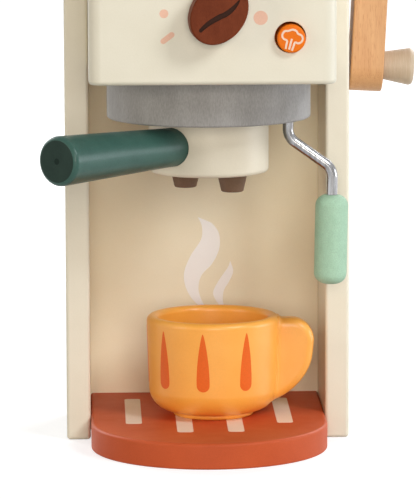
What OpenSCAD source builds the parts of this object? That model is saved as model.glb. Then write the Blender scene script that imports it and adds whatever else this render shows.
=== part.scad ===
// Wooden toy coffee maker: a painted board case with a turning portafilter, a swivelling steam
// wand, a push button, a bean knob, a side crank and a loose cup.
// Millimetres, +Z up. The origin is on the floor, on the centre plane, in the plane of the side
// panels' front edges; -Y is the front.

/* [Case] */
// Overall width over the two side panels
body_w = 160; // [152:1:176]
// Thickness of the side panels
side_t = 13.5; // [12:0.5:15]
// Depth of the side panels
side_d = 80; // [76:1:92]
// Height of the side panels
side_h = 284; // [280:1:298]
// Rounding of the side panels' long edges
side_round = 2; // [1:0.25:3]
// Thickness of the back panel
back_t = 9; // [8:0.5:11]
// Thickness of the top board
top_t = 12; // [10:0.5:15]

/* [Head] */
// How far the head stands out in front of the side panels
head_out = 109; // [103:1:118]
// Height of the head's underside above the floor
head_z = 213; // [207:1:217]
// Rounding of the head's upright front edges
head_round = 7; // [4:0.5:9]
// Rounding of the head's lower edge
head_edge = 2.4; // [1:0.2:3.6]
// Thickness of the head's front board
front_t = 14; // [12:0.5:15]
// Thickness of the boards behind it
board_t = 9; // [8:0.5:10]

/* [Base plate] */
// Thickness of the base plate
plate_t = 14.5; // [13:0.5:17]
// How far the rounded end's centre lies in front of the side panels
plate_out = 24; // [16:1:30]
// Rounding of the base plate's upper edge
plate_edge = 1.8; // [1:0.2:3]

/* [Brew head] */
// Radius of the grey brew head
brew_r = 56.4; // [53:0.2:58]
// Height of the brew head
brew_h = 25.5; // [23:0.5:27]
// Distance of its centre in front of the side panels
brew_out = 30; // [28:0.5:36]
// Rounding of its lower edge
brew_round = 1.2; // [0.6:0.2:2.4]
// Radius of the holding magnet
magnet_r = 10; // [8:0.5:11]
// Thickness of the holding magnet
magnet_t = 5; // [4:0.5:6]

/* [Portafilter] */
// Radius of the portafilter's body
pf_r = 33.25; // [31:0.25:35]
// Height of the portafilter's body
pf_h = 30.3; // [29:0.1:34]
// Rounding of its lower edge
pf_round = 2.5; // [1:0.25:3.5]
// Direction of the handle, to the left of straight ahead
handle_turn = 39.8; // [30:0.2:50]
// Upward tilt of the handle
handle_tilt = 1; // [0:0.25:2]
// Height of the handle's axis above the body's lower face
handle_up = 16; // [15:0.5:17]
// Distance from the body's axis to the end of the handle
handle_len = 130.6; // [115:0.2:140]
// Radius of the handle where it enters the body
handle_r_in = 10.6; // [9:0.2:11]
// Radius of the handle at its outer end
handle_r_out = 13.5; // [12:0.25:15]
// Rounding of the handle's outer end
handle_round = 2.5; // [1.5:0.25:4]
// Distance of each spout from the body's axis
spout_off = 16.5; // [14:0.5:19]
// Height of a spout
spout_h = 10; // [8:0.5:13]
// Radius of a spout at the top
spout_r_top = 8.4; // [7.5:0.1:9]
// Radius of a spout at the bottom
spout_r_low = 6.1; // [5.5:0.1:7]

/* [Steam wand] */
// Radius of the chrome rod
rod_r = 3; // [2.5:0.25:3.5]
// How far the rod's upper end lies left of the middle between portafilter and head's side board
wand_in = 1.175; // [0:0.025:2.5]
// Sideways lean of the rod in its loose hole
wand_lean = 1.2; // [0:0.1:2]
// How far the lower run stands out sideways from the upper one
wand_reach = 25.2; // [22:0.1:27]
// How far the upper bend's corner lies below the brew head
wand_bend_down = 11.9; // [10.5:0.2:14.5]
// Slope of the slanted run below the horizontal
wand_slope = 34.4; // [30:0.2:40]
// Radius of the rod's bends
wand_bend_r = 9.5; // [8:0.5:10]
// Radius of the grip
grip_r = 9.1; // [8:0.1:10]
// Length of the grip
grip_len = 50.8; // [44:0.2:54]
// How far the grip's lower end hangs below the brew head
grip_down = 94; // [89.5:0.5:97.5]
// Rounding of the grip's ends
grip_round = 6; // [4:0.5:7]

/* [Bean knob] */
// Half length of the bean
bean_a = 18; // [16:0.25:20]
// Half width of the bean
bean_b = 14.2; // [12:0.2:15]
// Thickness of the bean
bean_t = 12; // [9:0.5:14]
// Angle of the bean's long axis above the horizontal
bean_turn = 52.8; // [40:0.2:60]
// Position of the bean's axis to the right of the centre plane
bean_x = 2; // [-2:0.1:6]
// Height of the bean's axis above the middle of the head
bean_high = 4; // [0.5:0.1:6.5]
// Sideways lean of the bean's axis in its loose hole
bean_lean = 5; // [0:0.25:6]
// Length of the bean's groove, tip to tip
groove_len = 26.6; // [20:0.2:28]
// Width of the groove
groove_w = 2.4; // [1.6:0.1:3]
// Depth of the groove
groove_d = 0.9; // [0.5:0.1:1.5]

/* [Steam button] */
// Radius of the button
button_r = 7.6; // [6.5:0.1:8]
// Clearance all round the button in its hole
button_gap = 0.8; // [0.5:0.05:0.9]
// How far the button has sunk in its loose hole
button_sag = 0.5; // [0:0.05:0.6]
// How far the button stands out at rest
button_out = 4; // [3:0.2:5]
// Distance of the button's hole from the head's right side
button_side = 25.1; // [24:0.1:28.5]
// Height of the button's hole above the head's underside
button_up = 25.5; // [23:0.1:28]
// Wire radius of the button's spring
wire_r = 0.5; // [0.4:0.05:0.6]
// Number of turns of the spring
spring_turns = 5; // [4:1:6]

/* [Crank] */
// Distance of the crank's axis behind the side panel's front edge
crank_y = 40; // [36:0.5:46]
// Distance of the crank's axis below the top of the side panels
crank_down = 12.5; // [12:0.25:14]
// Droop of the crank's axis in its loose hole
crank_droop = 3; // [0:0.25:3.5]
// Distance from the axis to the knob's pin
crank_len = 62; // [50:0.5:70]
// Half width of the arm, and radius of its ends
arm_r = 15; // [13:0.25:16]
// Thickness of the arm
arm_t = 19; // [16:0.25:21]
// Gap between the side panel and the arm at the axis
arm_gap = 6.3; // [5.8:0.1:9]
// Radius of the wooden axle
axle_r = 5; // [4:0.25:6]
// Radius of the crank knob at the arm
knob_r_in = 7.9; // [7:0.1:9]
// Radius of the crank knob at its outer end
knob_r_out = 11; // [9.5:0.1:12]
// Length of the crank knob
knob_len = 17.8; // [15:0.2:22]
// Rounding of the knob's outer end
knob_round = 2.6; // [1.5:0.1:3.5]

/* [Cup] */
// Radius of the cup at the rim
cup_r = 37.5; // [34:0.25:39]
// Height of the cup
cup_h = 57; // [50:0.5:62]
// Thickness of the cup's wall at the rim
cup_wall = 6.5; // [5.5:0.25:8]
// How much the wall draws in towards the belly
cup_taper = 1.2; // [0.6:0.2:2]
// Radius of the belly curve
belly_r = 13.3; // [11:0.1:15]
// Height of the foot ring
foot_h = 2.8; // [2:0.2:4]
// Thickness of the cup's floor
cup_floor = 9; // [7:0.5:12]
// How far the handle stands out from the rim
ear_out = 19.7; // [18:0.1:21]
// Radius of the handle's upper corner
ear_corner_r = 11.7; // [9:0.1:13]
// Radius of the handle's long lower curve
ear_curve_r = 37; // [34:0.5:40]
// Thickness of the handle
ear_t = 14; // [11:0.5:16]
// Rounding of the handle's edges
ear_edge = 4.6; // [3:0.2:5.4]
// Position of the cup to the right of the centre plane
cup_x = 3; // [0:0.5:5]
// Position of the cup behind the side panels' front edges
cup_y = 1; // [-6:0.5:8]

/* [Fasteners and fits] */
// Radius of the blind dowels in the case's joints
dowel_r = 4; // [3:0.25:4]
// Length of a dowel on each side of its joint
dowel_in = 8; // [6:0.5:8.5]
// Distance of the outermost dowels from a board's front and back edges
dowel_edge = 14; // [12:0.5:18]
// Distance of the back panel's dowels from its lower and upper end
dowel_end = 37; // [25:1:45]
// Radius of the screws' shanks
screw_r = 2; // [1.5:0.1:2.2]
// Radial clearance of a turning shaft in its hole
run_fit = 0.06; // [0.03:0.01:0.09]
// Clearance round a glued or pressed piece
seat_fit = 0.05; // [0.02:0.01:0.1]
// Gap between pieces that pass each other
pass_gap = 0.3; // [0.2:0.05:0.5]

/* [Hidden] */
$fn = 96;
BLEND = 32;

// Case
inner_w = body_w - 2 * side_t;
back_y = side_d - back_t;
front_in_y = -head_out + front_t;
floor_top = head_z + board_t;
head_in_x = inner_w / 2 - board_t;
head_h = side_h - head_z;
dowel_hole_r = dowel_r + seat_fit;
dowel_hole_in = dowel_in + pass_gap;

// Brew head and portafilter
brew_z = head_z - brew_h;
pf_top = brew_z - pass_gap;
pf_z = pf_top - pf_h;
keeper_t = 3;
keeper_top = brew_z - pass_gap / 2;
keeper_z = keeper_top - keeper_t;
head_screw_r = 1.75;
head_screw_off = brew_r * 0.68;
head_screw_len = board_t + brew_h * 0.6;
screw_head_r = 2 * screw_r;
screw_head_t = 1.3;
tenon_r = 4;
tenon_len = 8;
handle_in = pf_r * 0.55;

// Steam wand
wand_x = (pf_r + head_in_x) / 2 - wand_in;
wand_bend_z = brew_z - wand_bend_down;
grip_z = brew_z - grip_down;

// Bean knob
bean_z = head_z + head_h / 2 + bean_high;
bean_axle_r = 4;
bean_gap = bean_a * sin(bean_lean) + pass_gap;
bean_socket = 5;
washer_t = 1.5;
bean_washer_r = 2 * bean_axle_r;
bean_axle_in = front_t + bean_washer_r * sin(bean_lean) + pass_gap;
bean_screw_len = front_t * 0.6;
groove_turn = 37.5;
groove_low = 1.3;

// Button
button_x = inner_w / 2 - button_side;
button_z = head_z + button_up;
button_hole_r = button_r + button_gap;
flange_r = button_hole_r + 2;
flange_t = 2;
flange_y = front_in_y + pass_gap;
housing_r_in = flange_r + button_gap + pass_gap;
housing_wall = 2;
spring_len = 9;
seat_y = flange_y + flange_t + spring_len;
coil_r = button_r - 2 * wire_r - 1;

// Crank, in the frame of its drooping axis: u outwards along the axle, w up
crank_z = side_h - crank_down;
arm_u = arm_gap;
arm_out_u = arm_gap + arm_t;
collar_t = 8;
collar_r = 2 * axle_r;
axle_bore_len = side_t + board_t;
axle_in_u = -axle_bore_len - collar_t - 2 * pass_gap - collar_r * tan(crank_droop);
knob_u = arm_out_u + pass_gap;
knob_head_in = 4;

// Cup
rim_r = cup_wall / 2;
foot_r = cup_r - cup_taper - belly_r;
cup_low_r = cup_r - cup_taper;
ear_drop = 1.9;
ear_top = cup_h - ear_drop;
ear_in_x = cup_low_r - 3 - ear_edge;
ear_curve_x = cup_r + ear_out - ear_curve_r;
ear_curve_z = ear_top - ear_corner_r - 1.4;

// ---- shapes used more than once

// A square with round corners on its front side, in the plane
module round_front(w, d, r) {
    intersection() {
        union() {
            translate([-w / 2, r]) square([w, d - r]);
            translate([-w / 2 + r, 0]) square([w - 2 * r, d]);
            for (s = [-1, 1]) translate([s * (w / 2 - r), r]) circle(r);
        }
        translate([-w / 2, 0]) square([w, d]);
    }
}

// Half profile of a plate, with its upper outer corner rounded
module soft_rim(r, h, edge) {
    square([r, h - edge]);
    square([r - edge, h]);
    translate([r - edge, h - edge]) circle(edge);
}

// Profile of a board that stands upright, with its lower corner at the origin rounded
module soft_foot(t, h, edge) {
    translate([edge, 0]) square([t - edge, h]);
    translate([0, edge]) square([t, h - edge]);
    translate([edge, edge]) circle(edge);
}

// Places its children at the brew head's axis
module at_brew() {
    translate([0, -brew_out, 0]) children();
}

// Places its children along the handle: +Z runs outwards from the portafilter's axis
module along_handle() {
    at_brew()
        translate([0, 0, pf_z + handle_up])
            rotate([0, 0, -handle_turn])
                rotate([90 - handle_tilt, 0, 0])
                    children();
}

// Places its children at a spout, -1 for the left and 1 for the right
module at_spout(side) {
    at_brew() rotate([0, 0, -handle_turn]) translate([side * spout_off, 0, pf_z]) children();
}

// Places its children on the front board with +Z pointing forwards
module on_front(x, z, y = -head_out) {
    translate([x, y, z]) rotate([90, 0, 0]) children();
}

// Places its children on the bean's axis with +Z pointing outwards, from the front board's face
module on_bean() {
    translate([bean_x, -head_out, bean_z]) rotate([0, 0, bean_lean]) rotate([90, 0, 0]) children();
}

// Places its children on the crank's axis: +Z runs outwards, +X is up along the arm
module along_crank() {
    translate([body_w / 2, crank_y, crank_z])
        rotate([0, crank_droop, 0])
            rotate([0, 90, 0])
                rotate([0, 0, 180])
                    children();
}

// A pan head with its shank, point down; the head's underside is at z = 0
module screw(len, r = screw_r, head_t = screw_head_t) {
    translate([0, 0, -len]) cylinder(h = len + head_t / 2, r = r);
    cylinder(h = head_t, r = 2 * r);
}

// Half profile of a turned piece with one rounded outer edge at the top
module turned_half(r_low, r_top, h, edge) {
    lean = atan2(r_top - r_low, h);
    // the edge's circle touches the slanted side and the end
    mid_r = r_top - edge * (1 + sin(lean)) / cos(lean);
    polygon([
        [0, 0], [r_low, 0],
        [mid_r + edge * cos(lean), h - edge - edge * sin(lean)],
        [mid_r, h - edge], [mid_r, h], [0, h]
    ]);
    translate([mid_r, h - edge]) circle(edge);
}

// Blind dowels that cross a joint at the plane x = 0, one per place [y, z]
module dowels_x(places, r, half) {
    for (p = places) translate([-half, p[0], p[1]]) rotate([0, 90, 0]) cylinder(h = 2 * half, r = r);
}

// ---- where the dowels lie

plate_dowel_places = [for (y = [dowel_edge, back_y - dowel_edge]) [y, plate_t / 2]];
head_dowel_places = [
    for (y = [dowel_edge, back_y - dowel_edge], share = [1, 2]) [y, head_z + head_h * share / 4]
];
back_dowel_z = [for (i = [0:3]) dowel_end + (side_h - 2 * dowel_end) * i / 3];

module base_dowel_solids(r, half) {
    for (s = [-1, 1]) translate([s * inner_w / 2, 0, 0]) dowels_x(plate_dowel_places, r, half);
}

module back_dowel_solids(r, half) {
    for (s = [-1, 1])
        translate([s * inner_w / 2, 0, 0])
            dowels_x([for (z = back_dowel_z) [back_y + back_t / 2, z]], r, half);
}

module head_dowel_solids(r, half) {
    for (s = [-1, 1]) translate([s * inner_w / 2, 0, 0]) dowels_x(head_dowel_places, r, half);
}

module top_dowel_solids(r, half) {
    for (s = [-1, 1], y = [dowel_edge, side_d - dowel_edge])
        translate([s * (body_w - side_t) / 2, y, side_h - half]) cylinder(h = 2 * half, r = r);
}

// ---- case

module side_board() {
    linear_extrude(height = side_h) round_front(side_t, side_d, side_round);
}

module side_panel_left() {
    color("beige") difference() {
        translate([-(body_w - side_t) / 2, 0, 0]) side_board();
        base_dowel_solids(dowel_hole_r, dowel_hole_in);
        back_dowel_solids(dowel_r * 0.75 + seat_fit, dowel_hole_in);
        head_dowel_solids(dowel_hole_r, dowel_hole_in);
        top_dowel_solids(dowel_hole_r, dowel_hole_in);
    }
}

module side_panel_right() {
    color("beige") difference() {
        translate([(body_w - side_t) / 2, 0, 0]) side_board();
        base_dowel_solids(dowel_hole_r, dowel_hole_in);
        back_dowel_solids(dowel_r * 0.75 + seat_fit, dowel_hole_in);
        head_dowel_solids(dowel_hole_r, dowel_hole_in);
        top_dowel_solids(dowel_hole_r, dowel_hole_in);
        along_crank() translate([0, 0, -axle_bore_len - board_t])
            cylinder(h = axle_bore_len + 2 * board_t, r = axle_r + run_fit);
    }
}

module back_panel() {
    color("beige") difference() {
        translate([-inner_w / 2, back_y, 0]) cube([inner_w, back_t, side_h]);
        back_dowel_solids(dowel_r * 0.75 + seat_fit, dowel_hole_in);
    }
}

module top_board() {
    color("beige") difference() {
        translate([0, 0, side_h]) linear_extrude(height = top_t) {
            translate([-body_w / 2, 0]) square([body_w, side_d]);
            translate([0, -head_out]) round_front(inner_w, head_out + 1, head_round);
        }
        top_dowel_solids(dowel_hole_r, dowel_hole_in);
    }
}

// The head's front board: a straight run between two round corners, all with a soft lower edge
module head_front_form() {
    mid_x = inner_w / 2 - head_round;
    translate([0, -head_out, head_z]) {
        translate([-mid_x, 0, 0]) rotate([90, 0, 90])
            linear_extrude(height = 2 * mid_x) soft_foot(front_t, head_h, head_edge);
        for (side = [0, 1]) mirror([side, 0, 0]) {
            translate([inner_w / 2, front_t, 0]) rotate([90, 0, 0])
                linear_extrude(height = front_t - head_round)
                    mirror([1, 0]) soft_foot(head_round, head_h, head_edge);
            translate([mid_x, head_round, 0]) intersection() {
                rotate_extrude()
                    translate([0, head_h]) mirror([0, 1]) soft_rim(head_round, head_h, head_edge);
                translate([0, -2 * head_round, -1]) cube([2 * head_round, 2 * head_round, head_h + 2]);
            }
        }
    }
}

module head_front() {
    color("beige") difference() {
        head_front_form();
        on_front(button_x, button_z) translate([0, 0, -2 * front_t])
            cylinder(h = 3 * front_t, r = button_hole_r);
        on_bean() translate([0, 0, -2 * front_t])
            cylinder(h = 3 * front_t, r = bean_axle_r + run_fit);
    }
}

// The head's left side board, with its lower outer edge rounded as the front board's is
module head_side() {
    translate([-inner_w / 2, back_y, head_z]) rotate([90, 0, 0])
        linear_extrude(height = back_y - front_in_y) soft_foot(board_t, head_h, head_edge);
}

module head_side_left() {
    color("beige") difference() {
        head_side();
        head_dowel_solids(dowel_hole_r, dowel_hole_in);
    }
}

module head_side_right() {
    color("beige") difference() {
        mirror([1, 0, 0]) head_side();
        head_dowel_solids(dowel_hole_r, dowel_hole_in);
        along_crank() translate([0, 0, -axle_bore_len - board_t])
            cylinder(h = axle_bore_len + 2 * board_t, r = axle_r + run_fit);
    }
}

module head_floor() {
    color("beige") difference() {
        translate([-head_in_x, front_in_y, head_z])
            cube([2 * head_in_x, back_y - front_in_y, board_t]);
        brew_screw_places() translate([0, 0, head_z - board_t])
            cylinder(h = 3 * board_t, r = head_screw_r + seat_fit);
        wand_axis() translate([0, 0, head_z - board_t])
            cylinder(h = 3 * board_t, r = rod_r + run_fit);
    }
}

module base_plate() {
    color("indianred") difference() {
        union() {
            translate([0, back_y, 0]) rotate([90, 0, 0])
                linear_extrude(height = back_y + plate_out)
                    for (side = [0, 1]) mirror([side, 0]) soft_rim(inner_w / 2, plate_t, plate_edge);
            translate([0, -plate_out, 0]) intersection() {
                rotate_extrude() soft_rim(inner_w / 2, plate_t, plate_edge);
                translate([-inner_w, -inner_w, -1]) cube([2 * inner_w, inner_w, plate_t + 2]);
            }
        }
        base_dowel_solids(dowel_hole_r, dowel_hole_in);
    }
}

module base_dowels() {
    color("burlywood") base_dowel_solids(dowel_r, dowel_in);
}

module back_dowels() {
    color("burlywood") back_dowel_solids(dowel_r * 0.75, dowel_in);
}

module head_dowels() {
    color("burlywood") head_dowel_solids(dowel_r, dowel_in);
}

module top_dowels() {
    color("burlywood") top_dowel_solids(dowel_r, dowel_in);
}

// ---- brew head

module brew_screw_places() {
    at_brew() for (a = [90, 210, 330]) rotate(a) translate([head_screw_off, 0, 0]) children();
}

module brew_head() {
    color("darkgray") difference() {
        at_brew() translate([0, 0, brew_z]) rotate_extrude() {
            square([brew_r - brew_round, brew_h]);
            translate([0, brew_round]) square([brew_r, brew_h - brew_round]);
            translate([brew_r - brew_round, brew_round]) circle(brew_round);
        }
        at_brew() translate([0, 0, brew_z - 1])
            cylinder(h = magnet_t + seat_fit + 1, r = magnet_r + seat_fit);
        brew_screw_places() translate([0, 0, floor_top - head_screw_len - pass_gap])
            cylinder(h = head_screw_len, r = head_screw_r + seat_fit);
        wand_axis() translate([0, 0, brew_z - 1])
            cylinder(h = brew_h + 2, r = rod_r + run_fit);
    }
}

module brew_head_screws() {
    color("silver") brew_screw_places() translate([0, 0, floor_top + seat_fit])
        screw(head_screw_len, head_screw_r);
}

module head_magnet() {
    color("silver") at_brew() translate([0, 0, brew_z]) cylinder(h = magnet_t, r = magnet_r);
}

// ---- portafilter

module keeper_plate() {
    color("silver") at_brew() translate([0, 0, keeper_z]) difference() {
        cylinder(h = keeper_t, r = magnet_r);
        translate([0, 0, -1]) cylinder(h = keeper_t + 2, r = screw_r + run_fit);
        translate([0, 0, keeper_t - screw_head_t - pass_gap])
            cylinder(h = keeper_t, r = screw_head_r + pass_gap);
    }
}

module portafilter_screw() {
    color("silver") at_brew() translate([0, 0, keeper_top - screw_head_t - seat_fit])
        screw(pf_h * 0.4);
}

module portafilter_body() {
    color("ivory") difference() {
        at_brew() translate([0, 0, pf_z]) rotate_extrude() {
            square([pf_r - pf_round, pf_h]);
            translate([0, pf_round]) square([pf_r, pf_h - pf_round]);
            translate([pf_r - pf_round, pf_round]) circle(pf_round);
        }
        at_brew() translate([0, 0, keeper_z - pass_gap])
            cylinder(h = keeper_t + 1, r = magnet_r + pass_gap);
        at_brew() translate([0, 0, keeper_top - screw_head_t - seat_fit - pf_h * 0.4 - pass_gap])
            cylinder(h = pf_h * 0.4, r = screw_r + seat_fit);
        along_handle() translate([0, 0, handle_in - pass_gap])
            cylinder(h = pf_r, r = handle_r_in + seat_fit);
        for (s = [-1, 1]) at_spout(s) translate([0, 0, -1])
            cylinder(h = tenon_len + pass_gap + 1, r = tenon_r + seat_fit);
    }
}

module portafilter_handle() {
    straight = pf_r + 1 - handle_in;
    color("darkslategray") along_handle() translate([0, 0, handle_in]) {
        cylinder(h = straight, r = handle_r_in);
        translate([0, 0, straight]) rotate_extrude()
            turned_half(handle_r_in, handle_r_out, handle_len - handle_in - straight, handle_round);
    }
}

module spout(side) {
    color("dimgray") at_spout(side) {
        translate([0, 0, -spout_h]) cylinder(h = spout_h, r1 = spout_r_low, r2 = spout_r_top);
        translate([0, 0, -1]) cylinder(h = tenon_len + 1, r = tenon_r);
    }
}

module spout_left() spout(-1);

module spout_right() spout(1);

// ---- steam wand

wand_drop = wand_reach * tan(wand_slope);
bend_turn = 90 - wand_slope;
bend_cut = wand_bend_r * tan(bend_turn / 2);
wand_top = floor_top + 6;

// Places its children on the wand's axis, which leans about the brew head's lower face
module wand_axis() {
    translate([wand_x, -brew_out, brew_z])
        rotate([0, wand_lean, 0])
            translate([0, 0, -brew_z])
                children();
}

// Points [x, z] of one bend, an arc about [mid_x, mid_z] from one angle to another
function bend_points(mid_x, mid_z, from, to, steps) = [
    for (i = [0:steps])
        let (a = from + (to - from) * i / steps)
        [mid_x + wand_bend_r * cos(a), mid_z + wand_bend_r * sin(a)]
];

// Below the turned journal the rod is swept along its centre line: down, round the upper bend,
// along the slant, round the lower bend and down into the grip
module wand_rod() {
    sides = 24;
    steps = 6;
    journal_z = brew_z + rod_r;
    top_z = wand_bend_z + bend_cut;
    low_z = wand_bend_z - wand_drop - bend_cut;
    path = concat(
        [[0, journal_z + 0.8 * rod_r], [0, journal_z - 0.4 * rod_r]],
        bend_points(wand_bend_r, top_z, 180, 180 + bend_turn, steps),
        bend_points(wand_reach - wand_bend_r, low_z, bend_turn, 0, steps),
        [[wand_reach, grip_z + 2 * grip_round]]
    );
    slope = concat(
        [0, 0],
        [for (i = [0:steps]) bend_turn * i / steps],
        [for (i = [steps:-1:0]) bend_turn * i / steps],
        [0]
    );
    last = len(path) - 1;
    points = [
        for (i = [0:last], k = [0:sides - 1])
            let (b = 360 * k / sides, r = i == 0 ? 0.9 * rod_r : rod_r)
            [
                path[i][0] + r * cos(b) * cos(slope[i]),
                r * sin(b),
                path[i][1] + r * cos(b) * sin(slope[i])
            ]
    ];
    faces = concat(
        [[for (k = [sides - 1:-1:0]) k]],
        [
            for (i = [0:last - 1], k = [0:sides - 1])
                let (n = (k + 1) % sides)
                [i * sides + k, i * sides + n, (i + 1) * sides + n, (i + 1) * sides + k]
        ],
        [[for (k = [0:sides - 1]) last * sides + k]]
    );
    color("silver") wand_axis() {
        translate([0, 0, journal_z]) cylinder(h = wand_top - journal_z, r = rod_r);
        polyhedron(points, faces);
    }
}

module wand_grip() {
    color("mediumaquamarine") wand_axis() translate([wand_reach, 0, grip_z]) difference() {
        rotate_extrude() {
            translate([0, grip_round]) square([grip_r, grip_len - 2 * grip_round]);
            square([grip_r - grip_round, grip_len]);
            for (z = [grip_round, grip_len - grip_round])
                translate([grip_r - grip_round, z]) intersection() {
                    circle(grip_round);
                    translate([-(grip_r - grip_round), -grip_round]) square([grip_r, 2 * grip_round]);
                }
        }
        translate([0, 0, 2 * grip_round - pass_gap]) cylinder(h = grip_len, r = rod_r + seat_fit);
    }
}

module wand_push_nut() {
    color("silver") wand_axis() translate([0, 0, floor_top + pass_gap]) difference() {
        cylinder(h = washer_t, r = 2.4 * rod_r);
        translate([0, 0, -1]) cylinder(h = washer_t + 2, r = rod_r + seat_fit / 2);
    }
}

// ---- bean knob

// One slice of the bean, its outline drawn in by the given share
module bean_slice(z, t, share) {
    translate([0, 0, z]) linear_extrude(height = t)
        scale([bean_a * share, bean_b * share]) circle(1, $fn = 2 * BLEND);
}

// Outline of the groove: a shallow S that swells past its middle and ends in a point
module groove_outline() {
    steps = 20;
    sway = 0.9;
    function along(u) = (u - 0.5) * groove_len;
    function across(u) = -groove_low - sway * sin(180 * pow(u, 1.5));
    function half(u) = groove_w / 2 * (0.8 + 0.4 * sin(150 * u)) * sqrt(1 - pow(u, 4));
    blunt = half(0);
    polygon(concat(
        [for (i = [0:steps]) let (u = i / steps) [along(u), across(u) - half(u)]],
        [for (i = [steps - 1:-1:0]) let (u = i / steps) [along(u), across(u) + half(u)]]
    ));
    translate([along(0), across(0)]) circle(blunt, $fn = BLEND);
}

module bean_knob() {
    color("saddlebrown") on_bean() translate([0, 0, bean_gap]) difference() {
        rotate([0, 0, bean_turn]) hull() {
            bean_slice(0, bean_t * 0.1, 0.95);
            bean_slice(bean_t * 0.08, bean_t * 0.8, 1);
            bean_slice(bean_t * 0.95, bean_t * 0.05, 0.96);
        }
        translate([0, 0, bean_t - groove_d]) rotate([0, 0, groove_turn])
            linear_extrude(height = 2 * groove_d) groove_outline();
        translate([0, 0, -1])
            cylinder(h = bean_socket + pass_gap + 1, r = bean_axle_r + seat_fit);
    }
}

module bean_axle() {
    color("burlywood") on_bean() difference() {
        translate([0, 0, -bean_axle_in])
            cylinder(h = bean_axle_in + bean_gap + bean_socket, r = bean_axle_r);
        translate([0, 0, -bean_axle_in - 1])
            cylinder(h = bean_screw_len + pass_gap + 1, r = screw_r + seat_fit);
    }
}

module bean_washer() {
    color("silver") on_bean()
        translate([0, 0, -bean_axle_in - washer_t - seat_fit]) difference() {
            cylinder(h = washer_t, r = bean_washer_r);
            translate([0, 0, -1]) cylinder(h = washer_t + 2, r = screw_r + seat_fit);
        }
}

module bean_screw() {
    color("silver") on_bean()
        translate([0, 0, -bean_axle_in - washer_t - 2 * seat_fit])
            rotate([180, 0, 0]) screw(bean_screw_len + washer_t);
}

// ---- steam button

module steam_button() {
    stem = button_out + front_t + pass_gap;
    color("darkorange") on_front(button_x, button_z - button_sag, flange_y) {
        cylinder(h = stem, r = button_r);
        translate([0, 0, -flange_t]) cylinder(h = flange_t, r = flange_r);
    }
}

// Wire of the coil spring, swept along its helix
module button_spring() {
    sides = 8;
    steps = 14;
    rings = spring_turns * steps;
    rise = spring_len - 2 * wire_r - 2 * seat_fit;
    points = [
        for (i = [0:rings], k = [0:sides - 1])
            let (a = 360 * i / steps, b = 360 * k / sides)
            [
                (coil_r + wire_r * cos(b)) * cos(a),
                (coil_r + wire_r * cos(b)) * sin(a),
                rise * i / rings + wire_r * sin(b)
            ]
    ];
    faces = concat(
        [[for (k = [0:sides - 1]) k]],
        [
            for (i = [0:rings - 1], k = [0:sides - 1])
                let (n = (k + 1) % sides)
                [i * sides + n, i * sides + k, (i + 1) * sides + k, (i + 1) * sides + n]
        ],
        [[for (k = [sides - 1:-1:0]) rings * sides + k]]
    );
    color("silver") on_front(button_x, button_z, seat_y)
        translate([0, 0, wire_r + seat_fit]) polyhedron(points, faces);
}

module button_housing() {
    depth = seat_y + housing_wall - front_in_y;
    color("burlywood") on_front(button_x, button_z, seat_y + housing_wall) difference() {
        cylinder(h = depth, r = housing_r_in + housing_wall);
        translate([0, 0, housing_wall]) cylinder(h = depth, r = housing_r_in);
    }
}

// ---- crank

module crank_axle() {
    color("burlywood") along_crank() difference() {
        translate([0, 0, axle_in_u]) cylinder(h = arm_out_u - axle_in_u, r = axle_r);
        translate([0, 0, arm_out_u - arm_t * 0.8]) cylinder(h = arm_t, r = screw_r + seat_fit);
    }
}

module crank_spacer() {
    tilt_room = 1.8 * axle_r * tan(crank_droop) + pass_gap;
    color("tan") along_crank() translate([0, 0, tilt_room]) difference() {
        cylinder(h = arm_gap - tilt_room, r = 1.8 * axle_r);
        translate([0, 0, -1]) cylinder(h = arm_gap + 2, r = axle_r + seat_fit);
    }
}

module crank_arm() {
    color("sandybrown") along_crank() translate([0, 0, arm_u]) difference() {
        linear_extrude(height = arm_t) {
            circle(arm_r);
            translate([-crank_len, -arm_r]) square([crank_len, 2 * arm_r]);
            translate([-crank_len, 0]) circle(arm_r);
        }
        translate([0, 0, -1]) cylinder(h = arm_t + 2, r = axle_r + seat_fit);
        translate([-crank_len, 0, arm_t * 0.3]) cylinder(h = arm_t, r = screw_r + seat_fit);
    }
}

module crank_screw() {
    color("silver") along_crank() translate([0, 0, arm_out_u + seat_fit])
        screw(arm_t * 0.8 - pass_gap, screw_r, 2 * screw_head_t);
}

module crank_collar() {
    color("burlywood") along_crank() translate([0, 0, axle_in_u]) difference() {
        cylinder(h = collar_t, r = collar_r);
        translate([0, 0, -1]) cylinder(h = collar_t + 2, r = axle_r + seat_fit);
    }
}

module crank_knob() {
    color("tan") along_crank() translate([-crank_len, 0, knob_u]) difference() {
        rotate_extrude() turned_half(knob_r_in, knob_r_out, knob_len, knob_round);
        translate([0, 0, -1]) cylinder(h = knob_len + 2, r = screw_r + run_fit);
        translate([0, 0, knob_len - knob_head_in])
            cylinder(h = knob_len, r = screw_head_r + pass_gap);
    }
}

module crank_knob_screw() {
    color("silver") along_crank()
        translate([-crank_len, 0, knob_u + knob_len - knob_head_in + pass_gap])
            screw(knob_len - knob_head_in + 2 * pass_gap + arm_t * 0.6);
}

// ---- cup

module cup_outline() {
    square([foot_r, foot_h + belly_r]);
    translate([0, foot_h + belly_r]) polygon([
        [0, 0], [cup_low_r, 0], [cup_r, cup_h - rim_r - foot_h - belly_r],
        [0, cup_h - rim_r - foot_h - belly_r]
    ]);
    translate([foot_r, foot_h + belly_r]) circle(belly_r);
    translate([cup_r - rim_r, cup_h - rim_r]) circle(rim_r);
}

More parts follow.
